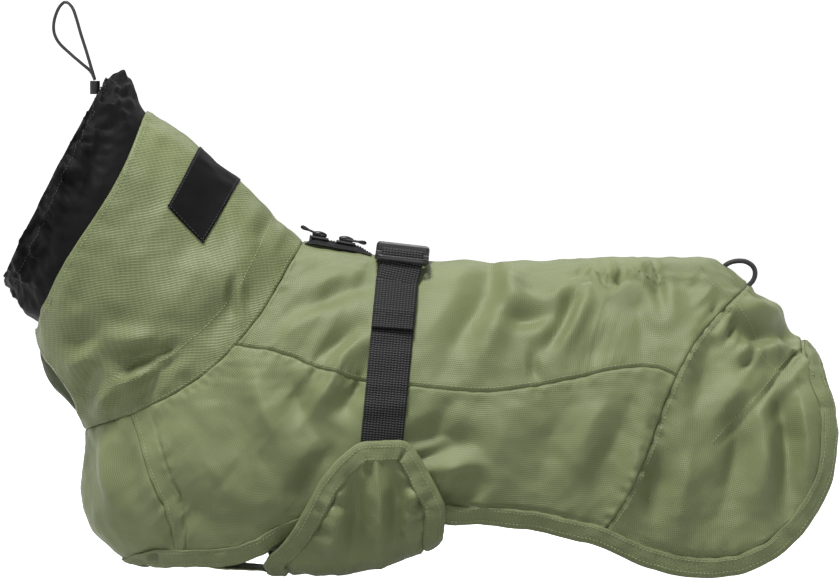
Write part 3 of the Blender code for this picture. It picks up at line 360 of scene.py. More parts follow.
# Columns of each row: start px, start py, middle px, middle py, end px, end py, half width, height
BODY_CREASES = Creases((
    (500, 266, 474, 312, 443, 366, 8.0, -4.6),
    (516, 274, 500, 318, 478, 368, 6.5, 2.6),
    (503, 264, 520, 300, 553, 300, 5.0, 2.8),
    (553, 300, 574, 290, 594, 274, 4.5, 2.4),
    (494, 312, 524, 320, 556, 312, 5.0, -3.6),
    (576, 292, 566, 320, 546, 350, 4.5, -4.4),
    (595, 282, 580, 318, 558, 354, 4.0, 3.0),
    (536, 350, 533, 366, 538, 382, 3.0, -2.6),
    (612, 322, 598, 350, 574, 370, 6.5, -2.4),
    (600, 270, 604, 280, 613, 292, 2.3, -5.0),
    (592, 270, 596, 279, 604, 289, 2.2, 3.2),
    (618, 268, 617, 277, 609, 286, 2.0, 3.8),
    (612, 268, 610, 275, 605, 280, 1.7, -3.6),
    (625, 270, 622, 281, 616, 291, 2.2, -3.4),
    (596, 268, 584, 276, 572, 281, 2.2, -2.2),
    (606, 286, 630, 294, 654, 274, 5.0, 2.8),
    (640, 270, 646, 278, 656, 285, 2.0, -4.4),
    (652, 268, 655, 276, 658, 286, 1.9, 3.4),
    (632, 274, 642, 281, 654, 290, 2.0, 2.6),
    (660, 268, 661, 278, 661, 290, 1.9, -3.0),
    (657, 264, 661, 288, 664, 316, 3.6, -3.4),
    (632, 302, 642, 330, 640, 358, 8.0, -2.2),
    (678, 276, 692, 300, 696, 332, 6.5, -2.2),
    (306, 296, 335, 281, 372, 276, 5.0, 2.6),
    (300, 312, 336, 292, 374, 288, 7.0, -3.8),
    (284, 342, 302, 326, 326, 314, 5.5, 2.2),
    (352, 328, 332, 348, 306, 362, 5.0, -2.6),
    (374, 336, 350, 352, 328, 370, 4.5, 2.4),
    (372, 360, 354, 392, 334, 424, 7.0, -4.2),
    (350, 364, 326, 392, 300, 424, 5.5, 3.0),
    (286, 368, 302, 410, 326, 448, 7.5, -3.6),
    (252, 368, 264, 408, 286, 456, 7.0, 2.8),
    (226, 388, 236, 430, 252, 474, 8.0, -3.0),
    (188, 448, 212, 470, 232, 504, 8.0, 2.2),
    (168, 470, 180, 500, 216, 524, 7.0, -2.4),
    (340, 440, 316, 470, 292, 500, 7.0, -2.8),
    (110, 436, 103, 470, 112, 510, 8.0, 2.4),
    (128, 448, 127, 482, 138, 524, 7.0, -2.6),
    (92, 440, 90, 476, 98, 512, 6.0, -1.8),
    (392, 478, 414, 462, 446, 452, 3.2, -3.0),
    (424, 506, 446, 478, 470, 452, 5.5, 3.2),
    (404, 450, 430, 436, 474, 444, 7.0, -3.4),
    (420, 476, 448, 466, 484, 464, 5.5, 3.4),
    (424, 494, 452, 502, 484, 490, 5.0, -3.0),
    (446, 512, 476, 500, 500, 480, 6.0, 2.0),
    (452, 400, 438, 420, 422, 434, 5.0, -2.6),
    (520, 402, 500, 440, 492, 484, 9.0, 2.0),
    (556, 408, 548, 450, 538, 494, 9.0, -2.4),
    (606, 396, 588, 430, 568, 474, 8.0, 2.2),
    (636, 392, 616, 440, 592, 490, 7.0, -2.2),
))
RUMP_CREASES = Creases((
    (734, 298, 756, 314, 784, 320, 7.0, 3.8),
    (730, 318, 756, 334, 788, 338, 6.0, -5.0),
    (742, 354, 764, 354, 794, 350, 5.0, 2.6),
    (718, 336, 704, 376, 692, 414, 7.5, -2.6),
    (750, 368, 734, 396, 712, 420, 6.5, 2.8),
    (700, 310, 690, 350, 680, 392, 7.0, 1.8),
    (776, 392, 790, 440, 786, 504, 6.5, -5.0),
    (796, 388, 806, 430, 806, 484, 5.0, 3.0),
    (752, 398, 764, 452, 758, 518, 7.0, 3.6),
    (738, 416, 734, 466, 716, 526, 7.5, -4.0),
    (692, 446, 686, 486, 676, 536, 6.5, 3.0),
    (666, 444, 656, 486, 648, 526, 6.5, -3.6),
    (642, 440, 632, 480, 622, 516, 6.0, 2.6),
    (670, 388, 664, 420, 650, 450, 6.0, -2.4),
    (706, 276, 700, 284, 692, 290, 2.0, -1.6),
    (714, 290, 706, 300, 696, 306, 2.2, 1.6),
    (722, 300, 716, 312, 706, 322, 2.2, -1.8),
    (734, 312, 728, 326, 716, 338, 2.4, 1.8),
    (740, 322, 734, 336, 724, 348, 2.2, -2.0),
    (752, 336, 746, 350, 734, 362, 2.4, 1.6),
    (758, 350, 750, 364, 740, 374, 2.2, -1.8),
    (784, 330, 796, 344, 806, 358, 3.6, -2.8),
    (770, 344, 776, 352, 786, 362, 3.0, 2.2),
    (700, 262, 712, 276, 730, 292, 2.0, -1.2),
    (744, 284, 760, 300, 774, 308, 3.0, -1.8),
))
TAIL_SEAM = Creases((
    (814, 356, 800, 357, 788, 370, 1.3, -1.9), (790, 367, 760, 405, 716, 448, 1.3, -1.9),
    (818, 364, 792, 384, 724, 454, 4.0, 2.0),
), shoulder=0.5, scale=1.0)
# Pixels of seams that cross the rump: the two rows of the elastic's casing and the edge under the tail
TRACED_SEAMS = (
    ((697, 262), (712, 282), (728, 295), (744, 311), (756, 329), (761, 345), (764, 358), (784, 377)),
    ((724, 268), (730, 276), (741, 284)),
    ((808, 352), (796, 356), (788, 363), (779, 374), (762, 394), (744, 411), (726, 429), (714, 442)),
)
COLLAR_CREASES = Creases((
    (232, 282, 229, 298, 234, 316, 2.4, -2.6),
    (240, 278, 238, 298, 240, 322, 3.0, 1.6),
    (232, 306, 216, 324, 204, 350, 8.0, -2.6),
    (258, 236, 240, 262, 214, 284, 10.0, 2.0),
    (204, 254, 178, 296, 150, 324, 12.0, 3.0),
    (158, 338, 130, 342, 96, 334, 6.0, 3.0),
    (172, 345, 166, 350, 154, 354, 2.6, -3.8),
    (162, 350, 136, 358, 108, 360, 6.0, -5.0),
    (134, 362, 128, 370, 118, 376, 2.6, -3.4),
    (160, 366, 138, 378, 116, 388, 5.0, 3.2),
    (178, 352, 160, 372, 136, 390, 4.0, -3.0),
    (104, 326, 84, 340, 60, 346, 8.0, -3.8),
    (96, 344, 78, 360, 60, 366, 6.0, 2.2),
    (98, 368, 84, 386, 78, 412, 5.5, -3.2),
    (118, 386, 104, 398, 90, 416, 4.0, 2.4),
    (212, 214, 190, 246, 166, 264, 13.0, -2.0),
    (272, 212, 262, 232, 252, 254, 5.0, -2.0),
    (138, 180, 128, 216, 100, 256, 12.0, -1.6),
    (66, 270, 62, 292, 56, 312, 6.0, 1.6),
), scale=1.2)
BELLY_CREASES = Creases((
    (330, 496, 332, 530, 318, 562, 6.5, 3.2),
    (350, 476, 358, 520, 350, 564, 6.0, -3.8),
    (374, 468, 380, 510, 374, 556, 5.0, 3.0),
    (392, 468, 400, 506, 392, 552, 5.0, -3.0),
    (414, 482, 406, 514, 410, 544, 4.5, 2.8),
    (366, 462, 370, 474, 370, 488, 2.4, -2.4),
    (430, 492, 420, 504, 408, 512, 2.6, -2.4),
    (432, 512, 420, 520, 408, 524, 2.6, -2.2),
    (424, 474, 414, 482, 404, 488, 2.4, -2.2),
    (308, 520, 320, 530, 334, 534, 3.0, -2.4),
    (326, 496, 338, 504, 350, 506, 2.8, -2.2),
    (298, 540, 312, 554, 332, 564, 5.0, -2.2),
))
CRUMPLE = Crumple()
BODY = Surface(body_plain, (BODY_CREASES, RUMP_CREASES, TAIL_SEAM, CRUMPLE))
COLLAR = Surface(collar_plain, (COLLAR_CREASES, Crumple(seed=9)), facing=-1.0)
BELLY = Surface(belly_plain, (BELLY_CREASES, Crumple(seed=12)), facing=-1.0)


# ---------------------------------------------------------------- meshes
class Edge(Enum):
    """A border of a grid of points."""

    FIRST_ROW = (0, False)
    LAST_ROW = (0, True)
    FIRST_COLUMN = (1, False)
    LAST_COLUMN = (1, True)


def edge_way(edge: Edge, grid: Array) -> Array:
    """A grid turned so that its first axis runs inward from a border."""
    axis, last = edge.value
    turned = np.moveaxis(grid, axis, 0)
    return turned[::-1] if last else turned


@dataclass
class Cloth:
    """A grid of points on the outer face of a panel, rows along the first axis."""

    points: Array
    facing: float = 1.0
    groove: float = 1.8

    def normals(self) -> Array:
        """Outward normals of the grid."""
        down, across = np.gradient(self.points, axis=0), np.gradient(self.points, axis=1)
        return unit(np.cross(across, down) * self.facing)

    def arcs(self, edge: Edge) -> Array:
        """The distance of every point from a border, along its grid line."""
        turned = edge_way(edge, self.points)
        steps = np.linalg.norm(np.diff(turned, axis=0), axis=-1)
        run = np.concatenate((np.zeros((1,) + steps.shape[1:]), np.cumsum(steps, axis=0)))
        axis, last = edge.value
        return np.moveaxis(run[::-1] if last else run, 0, axis)

    def waves(self, edge: Edge, shortest: float, longest: float, seed: int) -> tuple[Array, Array]:
        """An uneven wave along a border, and how far it may act, which falls to nothing at its ends."""
        line = edge_way(edge, self.points)[0]
        run = np.concatenate(([0.0], np.cumsum(np.linalg.norm(np.diff(line, axis=0), axis=-1))))
        chance = np.random.default_rng(seed)
        wave = sum(np.sin(run * TURN / chance.uniform(shortest, longest) + chance.uniform(0, 6.28))
                   for _ in range(6)) / 2.4
        ends = ease(run, 8.0, 26.0) * ease(run[-1] - run, 8.0, 26.0)
        axis = edge.value[0]
        return np.expand_dims(wave, axis), np.expand_dims(ends, axis)

    def seam(self, edge: Edge, depth: float = 0.6, pucker: float = 0.36, bead: float = 0.0, seed: int = 1) -> None:
        """Turn a border in along its seam and pucker the cloth beside it; bead raises its edge."""
        away = self.arcs(edge)
        wave, ends = self.waves(edge, 5.0, 16.0, seed)
        height = bead * np.exp(-((away - 1.3) / 0.8) ** 2) - depth * np.exp(-(away / 0.8) ** 2)
        height = height + wave * pucker * (0.3 + 0.7 * ends) * np.exp(-((away - 3.2) / 3.0) ** 2)
        self.points = self.points + self.normals() * height[..., None]

    def gather(self, edge: Edge, distance: float, height: float = 1.0, seed: int = 7) -> None:
        """Small uneven gathers above the binding of a border, whose width is the distance."""
        away = self.arcs(edge) - distance
        wave, ends = self.waves(edge, 8.0, 30.0, seed)
        rise = np.where(away > 0, np.exp(-(away / 6.5) ** 2), np.exp(-(away / 1.0) ** 2))
        height = height * (0.35 + np.maximum(wave, -0.3)) * ends * rise
        height = height - self.groove * np.exp(-((away - 1.3) / 1.2) ** 2) * (0.3 + (0.5 + 0.35 * wave) * ends)
        self.points = self.points + self.normals() * height[..., None]

    def inside(self, edge: Edge, distance: float, lift: float = 0.0) -> Array:
        """A line of points along a border, a distance in from it."""
        run, points = edge_way(edge, self.arcs(edge)), edge_way(edge, self.points)
        normals = edge_way(edge, self.normals())
        line = []
        for k in range(points.shape[1]):
            place = float(np.interp(distance, run[:, k], np.arange(len(run))))
            i, f = int(place), place - int(place)
            j = min(i + 1, len(run) - 1)
            line.append(points[i, k] * (1 - f) + points[j, k] * f + normals[i, k] * lift)
        return np.array(line)

    def border(self, edge: Edge) -> tuple[Array, Array]:
        """The points of a border and their normals."""
        return edge_way(edge, self.points)[0], edge_way(edge, self.normals())[0]


def new_mesh(name: str, points: Array, faces: list, uvs: Array | None = None) -> bpy.types.Object:
    """A mesh object from points in millimetres.

    Args:
        name: the object's name.
        points: the vertices.
        faces: lists of vertex numbers.
        uvs: places on the cloth, one for each vertex.

    Returns:
        The object, linked to the scene.
    """
    mesh = bpy.data.meshes.new(name)
    mesh.from_pydata((np.asarray(points) * MM).tolist(), [], faces)
    if uvs is not None:
        layer = mesh.uv_layers.new(name="cloth")
        index = np.empty(len(mesh.loops), dtype=np.int32)
        mesh.loops.foreach_get("vertex_index", index)
        layer.data.foreach_set("uv", (np.asarray(uvs)[index] * MM * 10).ravel().astype(np.float32))
    mesh.validate()
    mesh.shade_smooth()
    obj = bpy.data.objects.new(name, mesh)
    bpy.context.scene.collection.objects.link(obj)
    return obj


def grid_faces(rows: int, columns: int, start: int = 0, closed: bool = False, flip: bool = False) -> list:
    """Quads of a grid of points; closed joins its last column to the first."""
    faces = []
    for i in range(rows - 1):
        for j in range(columns if closed else columns - 1):
            k = (j + 1) % columns
            a, b = start + i * columns + j, start + i * columns + k
            quad = (a, b, b + columns, a + columns)
            faces.append(quad[::-1] if flip else quad)
    return faces


def cloth_places(points: Array, slope: float = 0.0) -> Array:
    """Places on the flat cloth for a grid: distances down its columns and along its rows.

    Args:
        points: the grid.
        slope: how far the weave is turned against the grid in radians, mirrored at the middle column.

    Returns:
        A pair of distances in millimetres for each point.
    """
    down = np.concatenate((np.zeros((1, points.shape[1])),
                           np.cumsum(np.linalg.norm(np.diff(points, axis=0), axis=-1), axis=0)))
    across = np.concatenate((np.zeros((points.shape[0], 1)),
                             np.cumsum(np.linalg.norm(np.diff(points, axis=1), axis=-1), axis=1)), axis=1)
    down -= down.mean(axis=0)
    across -= across[:, across.shape[1] // 2][:, None]
    if not slope:
        return np.stack((down, across), -1)
    away = np.abs(across)
    return np.stack((down * math.cos(slope) - away * math.sin(slope),
                     down * math.sin(slope) + away * math.cos(slope)), -1)


def weld(obj: bpy.types.Object, distance: float = 0.02) -> None:
    """Merge an object's doubled vertices; the distance is in millimetres."""
    work = bmesh.new()
    work.from_mesh(obj.data)
    bmesh.ops.remove_doubles(work, verts=work.verts, dist=distance * MM)
    work.to_mesh(obj.data)
    work.free()


def sheet_of(name: str, cloths: list, thickness: float, closed: bool = False,
             slope: float = 0.0) -> bpy.types.Object:
    """One thin cloth piece from grids on its outer face, thickened inward.

    Args:
        name: the piece's name.
        cloths: the grids, which are welded where they meet.
        thickness: in millimetres.
        closed: joins each grid's last column to its first.
        slope: the turn of the weave, as in cloth_places.

    Returns:
        The piece.
    """
    points, faces, uvs = [], [], []
    for cloth in cloths:
        rows, columns = cloth.points.shape[:2]
        faces += grid_faces(rows, columns, sum(len(p) for p in points), closed, flip=cloth.facing < 0)
        points.append(cloth.points.reshape(-1, 3))
        uvs.append(cloth_places(cloth.points, slope).reshape(-1, 2))
    obj = new_mesh(name, np.concatenate(points), faces, np.concatenate(uvs))
    weld(obj)
    wall = obj.modifiers.new("Cloth", "SOLIDIFY")
    wall.thickness = thickness * MM
    wall.offset = -1.0
    return obj


def declare(piece: bpy.types.Object, cloths: list, closed: bool = False,
            stacked: bool = False) -> None:
    """Log a sheet's flat size and area, from the cut of its grids measured along their longest lines.

    Args:
        piece: the sheet.
        cloths: its grids, which lie side by side.
        closed: whether each grid runs all round.
        stacked: whether the grids follow each other in pairs, a main one and its narrower strip.
    """
    sizes, area = [], 0.0
    for cloth in cloths:
        grid = np.concatenate((cloth.points, cloth.points[:, :1]), axis=1) if closed else cloth.points
        down = float(np.linalg.norm(np.diff(grid, axis=0), axis=-1).sum(axis=0).max())
        across = float(np.linalg.norm(np.diff(grid, axis=1), axis=-1).sum(axis=1).max())
        one, two = grid[1:, 1:] - grid[:-1, :-1], grid[1:, :-1] - grid[:-1, 1:]
        area += float(np.linalg.norm(np.cross(one, two), axis=-1).sum()) / 2
        sizes.append((down, across))
    if stacked:
        width, length = sizes[0][0] + sizes[2][0], sizes[0][1] + sizes[1][1]
    else:
        width, length = sum(across for _, across in sizes), max(down for down, _ in sizes)
    area = min(area, width * length)
    width * MM
    length * MM
    area * MM * MM
    LOG.info("%s, %.0f x %.0f mm flat, %.0f cm2", piece.name, width, length, area / 100)


def swept(name: str, rings: Array, looped: bool = False) -> bpy.types.Object:
    """A closed solid through rings of equal point counts, its faces turned outward."""
    rings = np.asarray(rings)
    count, sides = rings.shape[:2]
    around = np.concatenate(([0.0], np.cumsum(np.linalg.norm(np.diff(rings[0], axis=0), axis=-1))))
    along = np.concatenate(([0.0], np.cumsum(np.linalg.norm(np.diff(rings.mean(axis=1), axis=0), axis=-1))))
    uvs = np.stack(np.broadcast_arrays(along[:, None], around[None, :]), -1).reshape(-1, 2)
    points = rings.reshape(-1, 3)
    faces = []
    for i in range(count if looped else count - 1):
        k = (i + 1) % count
        for j in range(sides):
            m = (j + 1) % sides
            faces.append((i * sides + j, i * sides + m, k * sides + m, k * sides + j))
    if not looped:
        faces += [tuple(range(sides))[::-1], tuple((count - 1) * sides + j for j in range(sides))]
    obj = new_mesh(name, points, faces, uvs)
    work = bmesh.new()
    work.from_mesh(obj.data)
    bmesh.ops.recalc_face_normals(work, faces=work.faces)
    work.to_mesh(obj.data)
    work.free()
    return obj


def evenly(route: Array, spacing: float) -> Array:
    """Points at an even spacing along a route's smooth curve."""
    fine = read_rows(tuple(map(tuple, route)), np.linspace(0, len(route) - 1, 12 * len(route)))
    run = np.concatenate(([0.0], np.cumsum(np.linalg.norm(np.diff(fine, axis=0), axis=-1))))
    steps = max(int(round(run[-1] / spacing)), 3)
    return np.stack([np.interp(np.linspace(0, run[-1], steps + 1), run, fine[:, k]) for k in range(3)], -1)


# ---------------------------------------------------------------- shader maths
class Signal:
    """A value in a shader tree, which takes part in Python expressions."""

    def __init__(self, tree: "ShaderTree", socket: bpy.types.NodeSocket) -> None:
        self.tree = tree
        self.socket = socket

    def maths(self, operation: str, first: object, second: object = 0.0) -> "Signal":
        """A Math node on two values."""
        node = self.tree.node("ShaderNodeMath", {"operation": operation}, {0: first, 1: second})
        return Signal(self.tree, node.outputs[0])

    def __add__(self, other: object) -> "Signal":
        """self + other."""
        return self.maths("ADD", self, other)

    def __sub__(self, other: object) -> "Signal":
        """self - other."""
        return self.maths("SUBTRACT", self, other)

    def __rsub__(self, other: object) -> "Signal":
        """other - self."""
        return self.maths("SUBTRACT", other, self)

    def __mul__(self, other: object) -> "Signal":
        """self * other."""
        return self.maths("MULTIPLY", self, other)

    def __pow__(self, other: object) -> "Signal":
        """self ** other."""
        return self.maths("POWER", self, other)

    __radd__ = __add__
    __rmul__ = __mul__

    def sine(self) -> "Signal":
        """The sine."""
        return self.maths("SINE", self)

    def size(self) -> "Signal":
        """The absolute value."""
        return self.maths("ABSOLUTE", self)

    def clamp(self) -> "Signal":
        """The value kept from 0 to 1."""
        return self.maths("MINIMUM", self.maths("MAXIMUM", self, 0.0), 1.0)


class ShaderTree:
    """A material's node tree with one Principled shader."""

    def __init__(self, name: str) -> None:
        self.material = bpy.data.materials.new(name)
        self.material.use_nodes = True
        self.tree = self.material.node_tree
        self.shader = self.tree.nodes["Principled BSDF"]

    def node(self, kind: str, settings: dict | None = None, values: dict | None = None) -> bpy.types.Node:
        """A node with its settings, then the values or links of its sockets."""
        made = self.tree.nodes.new(kind)
        for name, value in (settings or {}).items():
            if name == "stops":
                self.set_stops(made, value)
            else:
                setattr(made, name, value)
        for name, value in (values or {}).items():
            self.join(made.inputs[name], value)
        return made

    def set_stops(self, ramp: bpy.types.Node, stops: tuple) -> None:
        """The stops of a colour ramp, from (place, colour) pairs."""
        while len(ramp.color_ramp.elements) < len(stops):
            ramp.color_ramp.elements.new(0.5)
        for element, (place, colour) in zip(ramp.color_ramp.elements, stops):
            element.position = place
            element.color = (*colour, 1.0)

    def join(self, socket: bpy.types.NodeSocket, value: object) -> None:
        """Link a signal or a socket to a socket, or set its value."""
        if isinstance(value, Signal):
            self.tree.links.new(value.socket, socket)
        elif isinstance(value, bpy.types.NodeSocket):
            self.tree.links.new(value, socket)
        elif isinstance(value, tuple) and len(value) == 3 and socket.type == "RGBA":
            socket.default_value = (*value, 1.0)
        else:
            socket.default_value = value

    def on_cloth(self) -> tuple[Signal, Signal]:
        """Places along and across the cloth, in units of 100 mm."""
        place = self.node("ShaderNodeUVMap", {"uv_map": "cloth"})
        parts = self.node("ShaderNodeSeparateXYZ", None, {0: place.outputs[0]})
        return Signal(self, parts.outputs[0]), Signal(self, parts.outputs[1])

    def noise(self, scale: float, detail: float = 3.0, roughness: float = 0.5) -> Signal:
        """Noise on Object coordinates, in turns per metre."""
        place = self.node("ShaderNodeTexCoord")
        made = self.node("ShaderNodeTexNoise", None, {"Vector": place.outputs["Object"], "Scale": scale,
                                                      "Detail": detail, "Roughness": roughness})
        return Signal(self, made.outputs["Fac"])

    def blend(self, share: Signal, first: object, second: object) -> bpy.types.NodeSocket:
        """A colour between two colours."""
        made = self.node("ShaderNodeMix", {"data_type": "RGBA"}, {0: share, 6: first, 7: second})
        return made.outputs[2]

    def bump(self, height: Signal, distance: float, strength: float = 1.0, under: object = None) -> bpy.types.NodeSocket:
        """A bump whose full height is a distance in millimetres."""
        made = self.node("ShaderNodeBump", None, {"Height": height, "Distance": distance * MM, "Strength": strength})
        if under is not None:
            self.join(made.inputs["Normal"], under)
        return made.outputs[0]

    def finish(self, colour: object, roughness: object, normal: object = None, **fixed: float) -> bpy.types.Material:
        """Join the shader's sockets; fixed sockets are named with underscores."""
        self.join(self.shader.inputs["Base Color"], colour)
        self.join(self.shader.inputs["Roughness"], roughness)
        if normal is not None:
            self.join(self.shader.inputs["Normal"], normal)
        for name, value in fixed.items():
            self.shader.inputs[name.replace("_", " ")].default_value = value
        return self.material


OLIVE = (0.225, 0.259, 0.120)
OLIVE_DEEP = (0.092, 0.108, 0.045)


@dataclass(frozen=True)
class RainCloth:
    """Coated olive cloth with a woven grid; pitch is in millimetres."""

    name: str
    light: tuple = OLIVE
    deep: tuple = OLIVE_DEEP
    pitch_along: float = 2.4
    pitch_across: float = 2.4
    diagonal: bool = True
    line: float = 0.70
    relief: float = 0.20
    roughness: float = 0.53

    def make(self) -> bpy.types.Material:
        """The material."""
        tree = ShaderTree(self.name)
        along, across = tree.on_cloth()
        if self.diagonal:
            along, across = along + across, along - across
        rows = (along * (TURN * 100 / self.pitch_along)).sine()
        lines = (across * (TURN * 100 / self.pitch_across)).sine()
        if self.diagonal:
            weave = (rows * lines) * 0.5 + 0.5
        else:
            weave = ((rows * 0.5 + 0.5) ** 2.0) * 0.75 + ((lines * 0.5 + 0.5) ** 3.0) * 0.25
        cloud = tree.noise(14.0, 4.0, 0.6)
        shade = (weave * self.line + cloud * 0.55 + 0.5 * (0.45 - self.line)).clamp()
        colour = tree.blend(shade, self.deep, self.light)
        fine = tree.bump(weave, self.relief, 0.8)
        crushed = tree.bump(tree.noise(55.0, 5.0, 0.62), 0.9, 0.30, fine)
        rough = cloud * 0.12 + (self.roughness - 0.06)
        return tree.finish(colour, rough, crushed, Sheen_Weight=0.05, Sheen_Roughness=0.4,
                           Specular_IOR_Level=0.36)


@dataclass(frozen=True)
class SoftCloth:
    """Plain matt cloth, such as the snood's, crushed into small creases."""

    name: str
    light: tuple
    deep: tuple
    roughness: float = 0.72
    crush: float = 1.4
    sheen: float = 0.03

    def make(self) -> bpy.types.Material:
        """The material."""
        tree = ShaderTree(self.name)
        cloud = tree.noise(30.0, 5.0, 0.6)
        colour = tree.blend(cloud, self.deep, self.light)
        grain = tree.bump(tree.noise(900.0, 2.0), 0.10, 0.5)
        crushed = tree.bump(tree.noise(70.0, 5.0, 0.65), self.crush, 0.5, grain)
        return tree.finish(colour, cloud * 0.15 + (self.roughness - 0.07), crushed, Sheen_Weight=self.sheen,
                           Specular_IOR_Level=0.12)


@dataclass(frozen=True)
class Webbing:
    """Black ribbed webbing: ribs across its length, and warp cords along it."""

    name: str
    rib: float = 1.45
    cord: float = 1.8
    slant: float = 0.6

    def make(self) -> bpy.types.Material:
        """The material."""
        tree = ShaderTree(self.name)
        along, across = tree.on_cloth()
        shift = (across * (TURN * 50 / self.cord)).sine() * self.slant
        ribs = (along * (TURN * 100 / self.rib) + shift).sine() * 0.5 + 0.5
        cords = (across * (TURN * 100 / self.cord)).sine() * 0.5 + 0.5
        height = ribs * 0.5 + ribs * cords * 0.5
        colour = tree.blend(height ** 2.5, (0.004, 0.004, 0.0045), (0.095, 0.092, 0.093))
        return tree.finish(colour, 0.7, tree.bump(height, 0.35, 0.9), Specular_IOR_Level=0.2)


@dataclass(frozen=True)
class Moulded:
    """Hard moulded or painted black, with a faint grain."""

    name: str
    light: tuple = (0.010, 0.010, 0.011)
    roughness: float = 0.38
    metallic: float = 0.0

    def make(self) -> bpy.types.Material:
        """The material."""
        tree = ShaderTree(self.name)
        cloud = tree.noise(220.0, 3.0)
        colour = tree.blend(cloud, tuple(c * 0.7 for c in self.light), self.light)
        grain = tree.bump(tree.noise(2600.0, 2.0), 0.05, 0.4)
        return tree.finish(colour, cloud * 0.14 + (self.roughness - 0.07), grain, Metallic=self.metallic)


@dataclass(frozen=True)
class Thread:
    """Sewing thread or covered cord, its twist along the cloth place."""

    name: str
    colour: tuple
    twist: float = 0.0
    roughness: float = 0.6

    def make(self) -> bpy.types.Material:
        """The material."""
        tree = ShaderTree(self.name)
        cloud = tree.noise(400.0, 2.0)
        dark = tuple(c * 0.7 for c in self.colour)
        colour = tree.blend(cloud, dark, self.colour)
        if not self.twist:
            return tree.finish(colour, self.roughness, tree.bump(cloud, 0.08, 0.5))
        along, across = tree.on_cloth()
        braid = (along * (TURN * 100 / self.twist)).sine() * (across * (TURN * 100 / self.twist)).sine()
        braid = braid * 0.5 + 0.5
        return tree.finish(tree.blend(braid, dark, self.colour), self.roughness, tree.bump(braid, 0.2, 0.8))


@dataclass(frozen=True)
class Finish:
    """A material with a slot name, which this script does not use."""

    slot: str
    look: object

    def material(self) -> bpy.types.Material:
        """The finish's material, made once."""
        return bpy.data.materials.get(self.look.name) or self.look.make()


class Finishes:
    """All the coat's finishes."""

    shell = Finish("shell_cloth", RainCloth("coated_twill"))
    collar = Finish("collar_cloth", RainCloth("coated_grid", pitch_along=1.6, pitch_across=3.2, diagonal=False,
                                             line=0.52))
    edging = Finish("edging", RainCloth("binding_twill", pitch_along=1.7, pitch_across=1.7, line=0.8, relief=0.3))
    # The gusset's colours lie far below the shell's olive: painted shade for the cloth deep inside the collar's throat.
    gusset = Finish("gusset_cloth", SoftCloth("gusset_knit", (0.062, 0.074, 0.033), (0.035, 0.042, 0.019), 0.7, 0.8))
    snood = Finish("snood_cloth", SoftCloth("snood_soft", (0.0065, 0.006, 0.0065), (0.0018, 0.0017, 0.0018), 0.66))
    patch = Finish("patch", SoftCloth("woven_patch", (0.004, 0.004, 0.0043), (0.002, 0.002, 0.002), 0.7, 0.25))
    webbing = Finish("webbing", Webbing("ribbed_webbing"))
    plastic = Finish("plastic", Moulded("moulded_buckle"))
    lock = Finish("plastic", Moulded("cord_lock_black", (0.006, 0.006, 0.0065), 0.55))
    metal = Finish("metal", Moulded("painted_slider", (0.035, 0.035, 0.037), 0.3, 0.6))
    tape = Finish("tape", Webbing("zip_tape_weave", 0.7, 1.4))
    olive_thread = Finish("edging", Thread("olive_thread", (0.31, 0.355, 0.19)))
    dark_thread = Finish("webbing", Thread("black_thread", (0.045, 0.045, 0.047)))
    elastic = Finish("elastic", Thread("elastic_cord", (0.024, 0.023, 0.024), 1.1))


def dress(obj: bpy.types.Object, finish: Finish, nodes: tuple = (), body: str = "coat") -> bpy.types.Object:
    """Give a piece its finish and body, and hide the nodes that it stands for."""
    obj.data.materials.clear()
    obj.data.materials.append(finish.material())
    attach(obj, body)
    if nodes:
        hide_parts(*nodes)
    LOG.info("%s on %s", obj.name, body)
    return obj


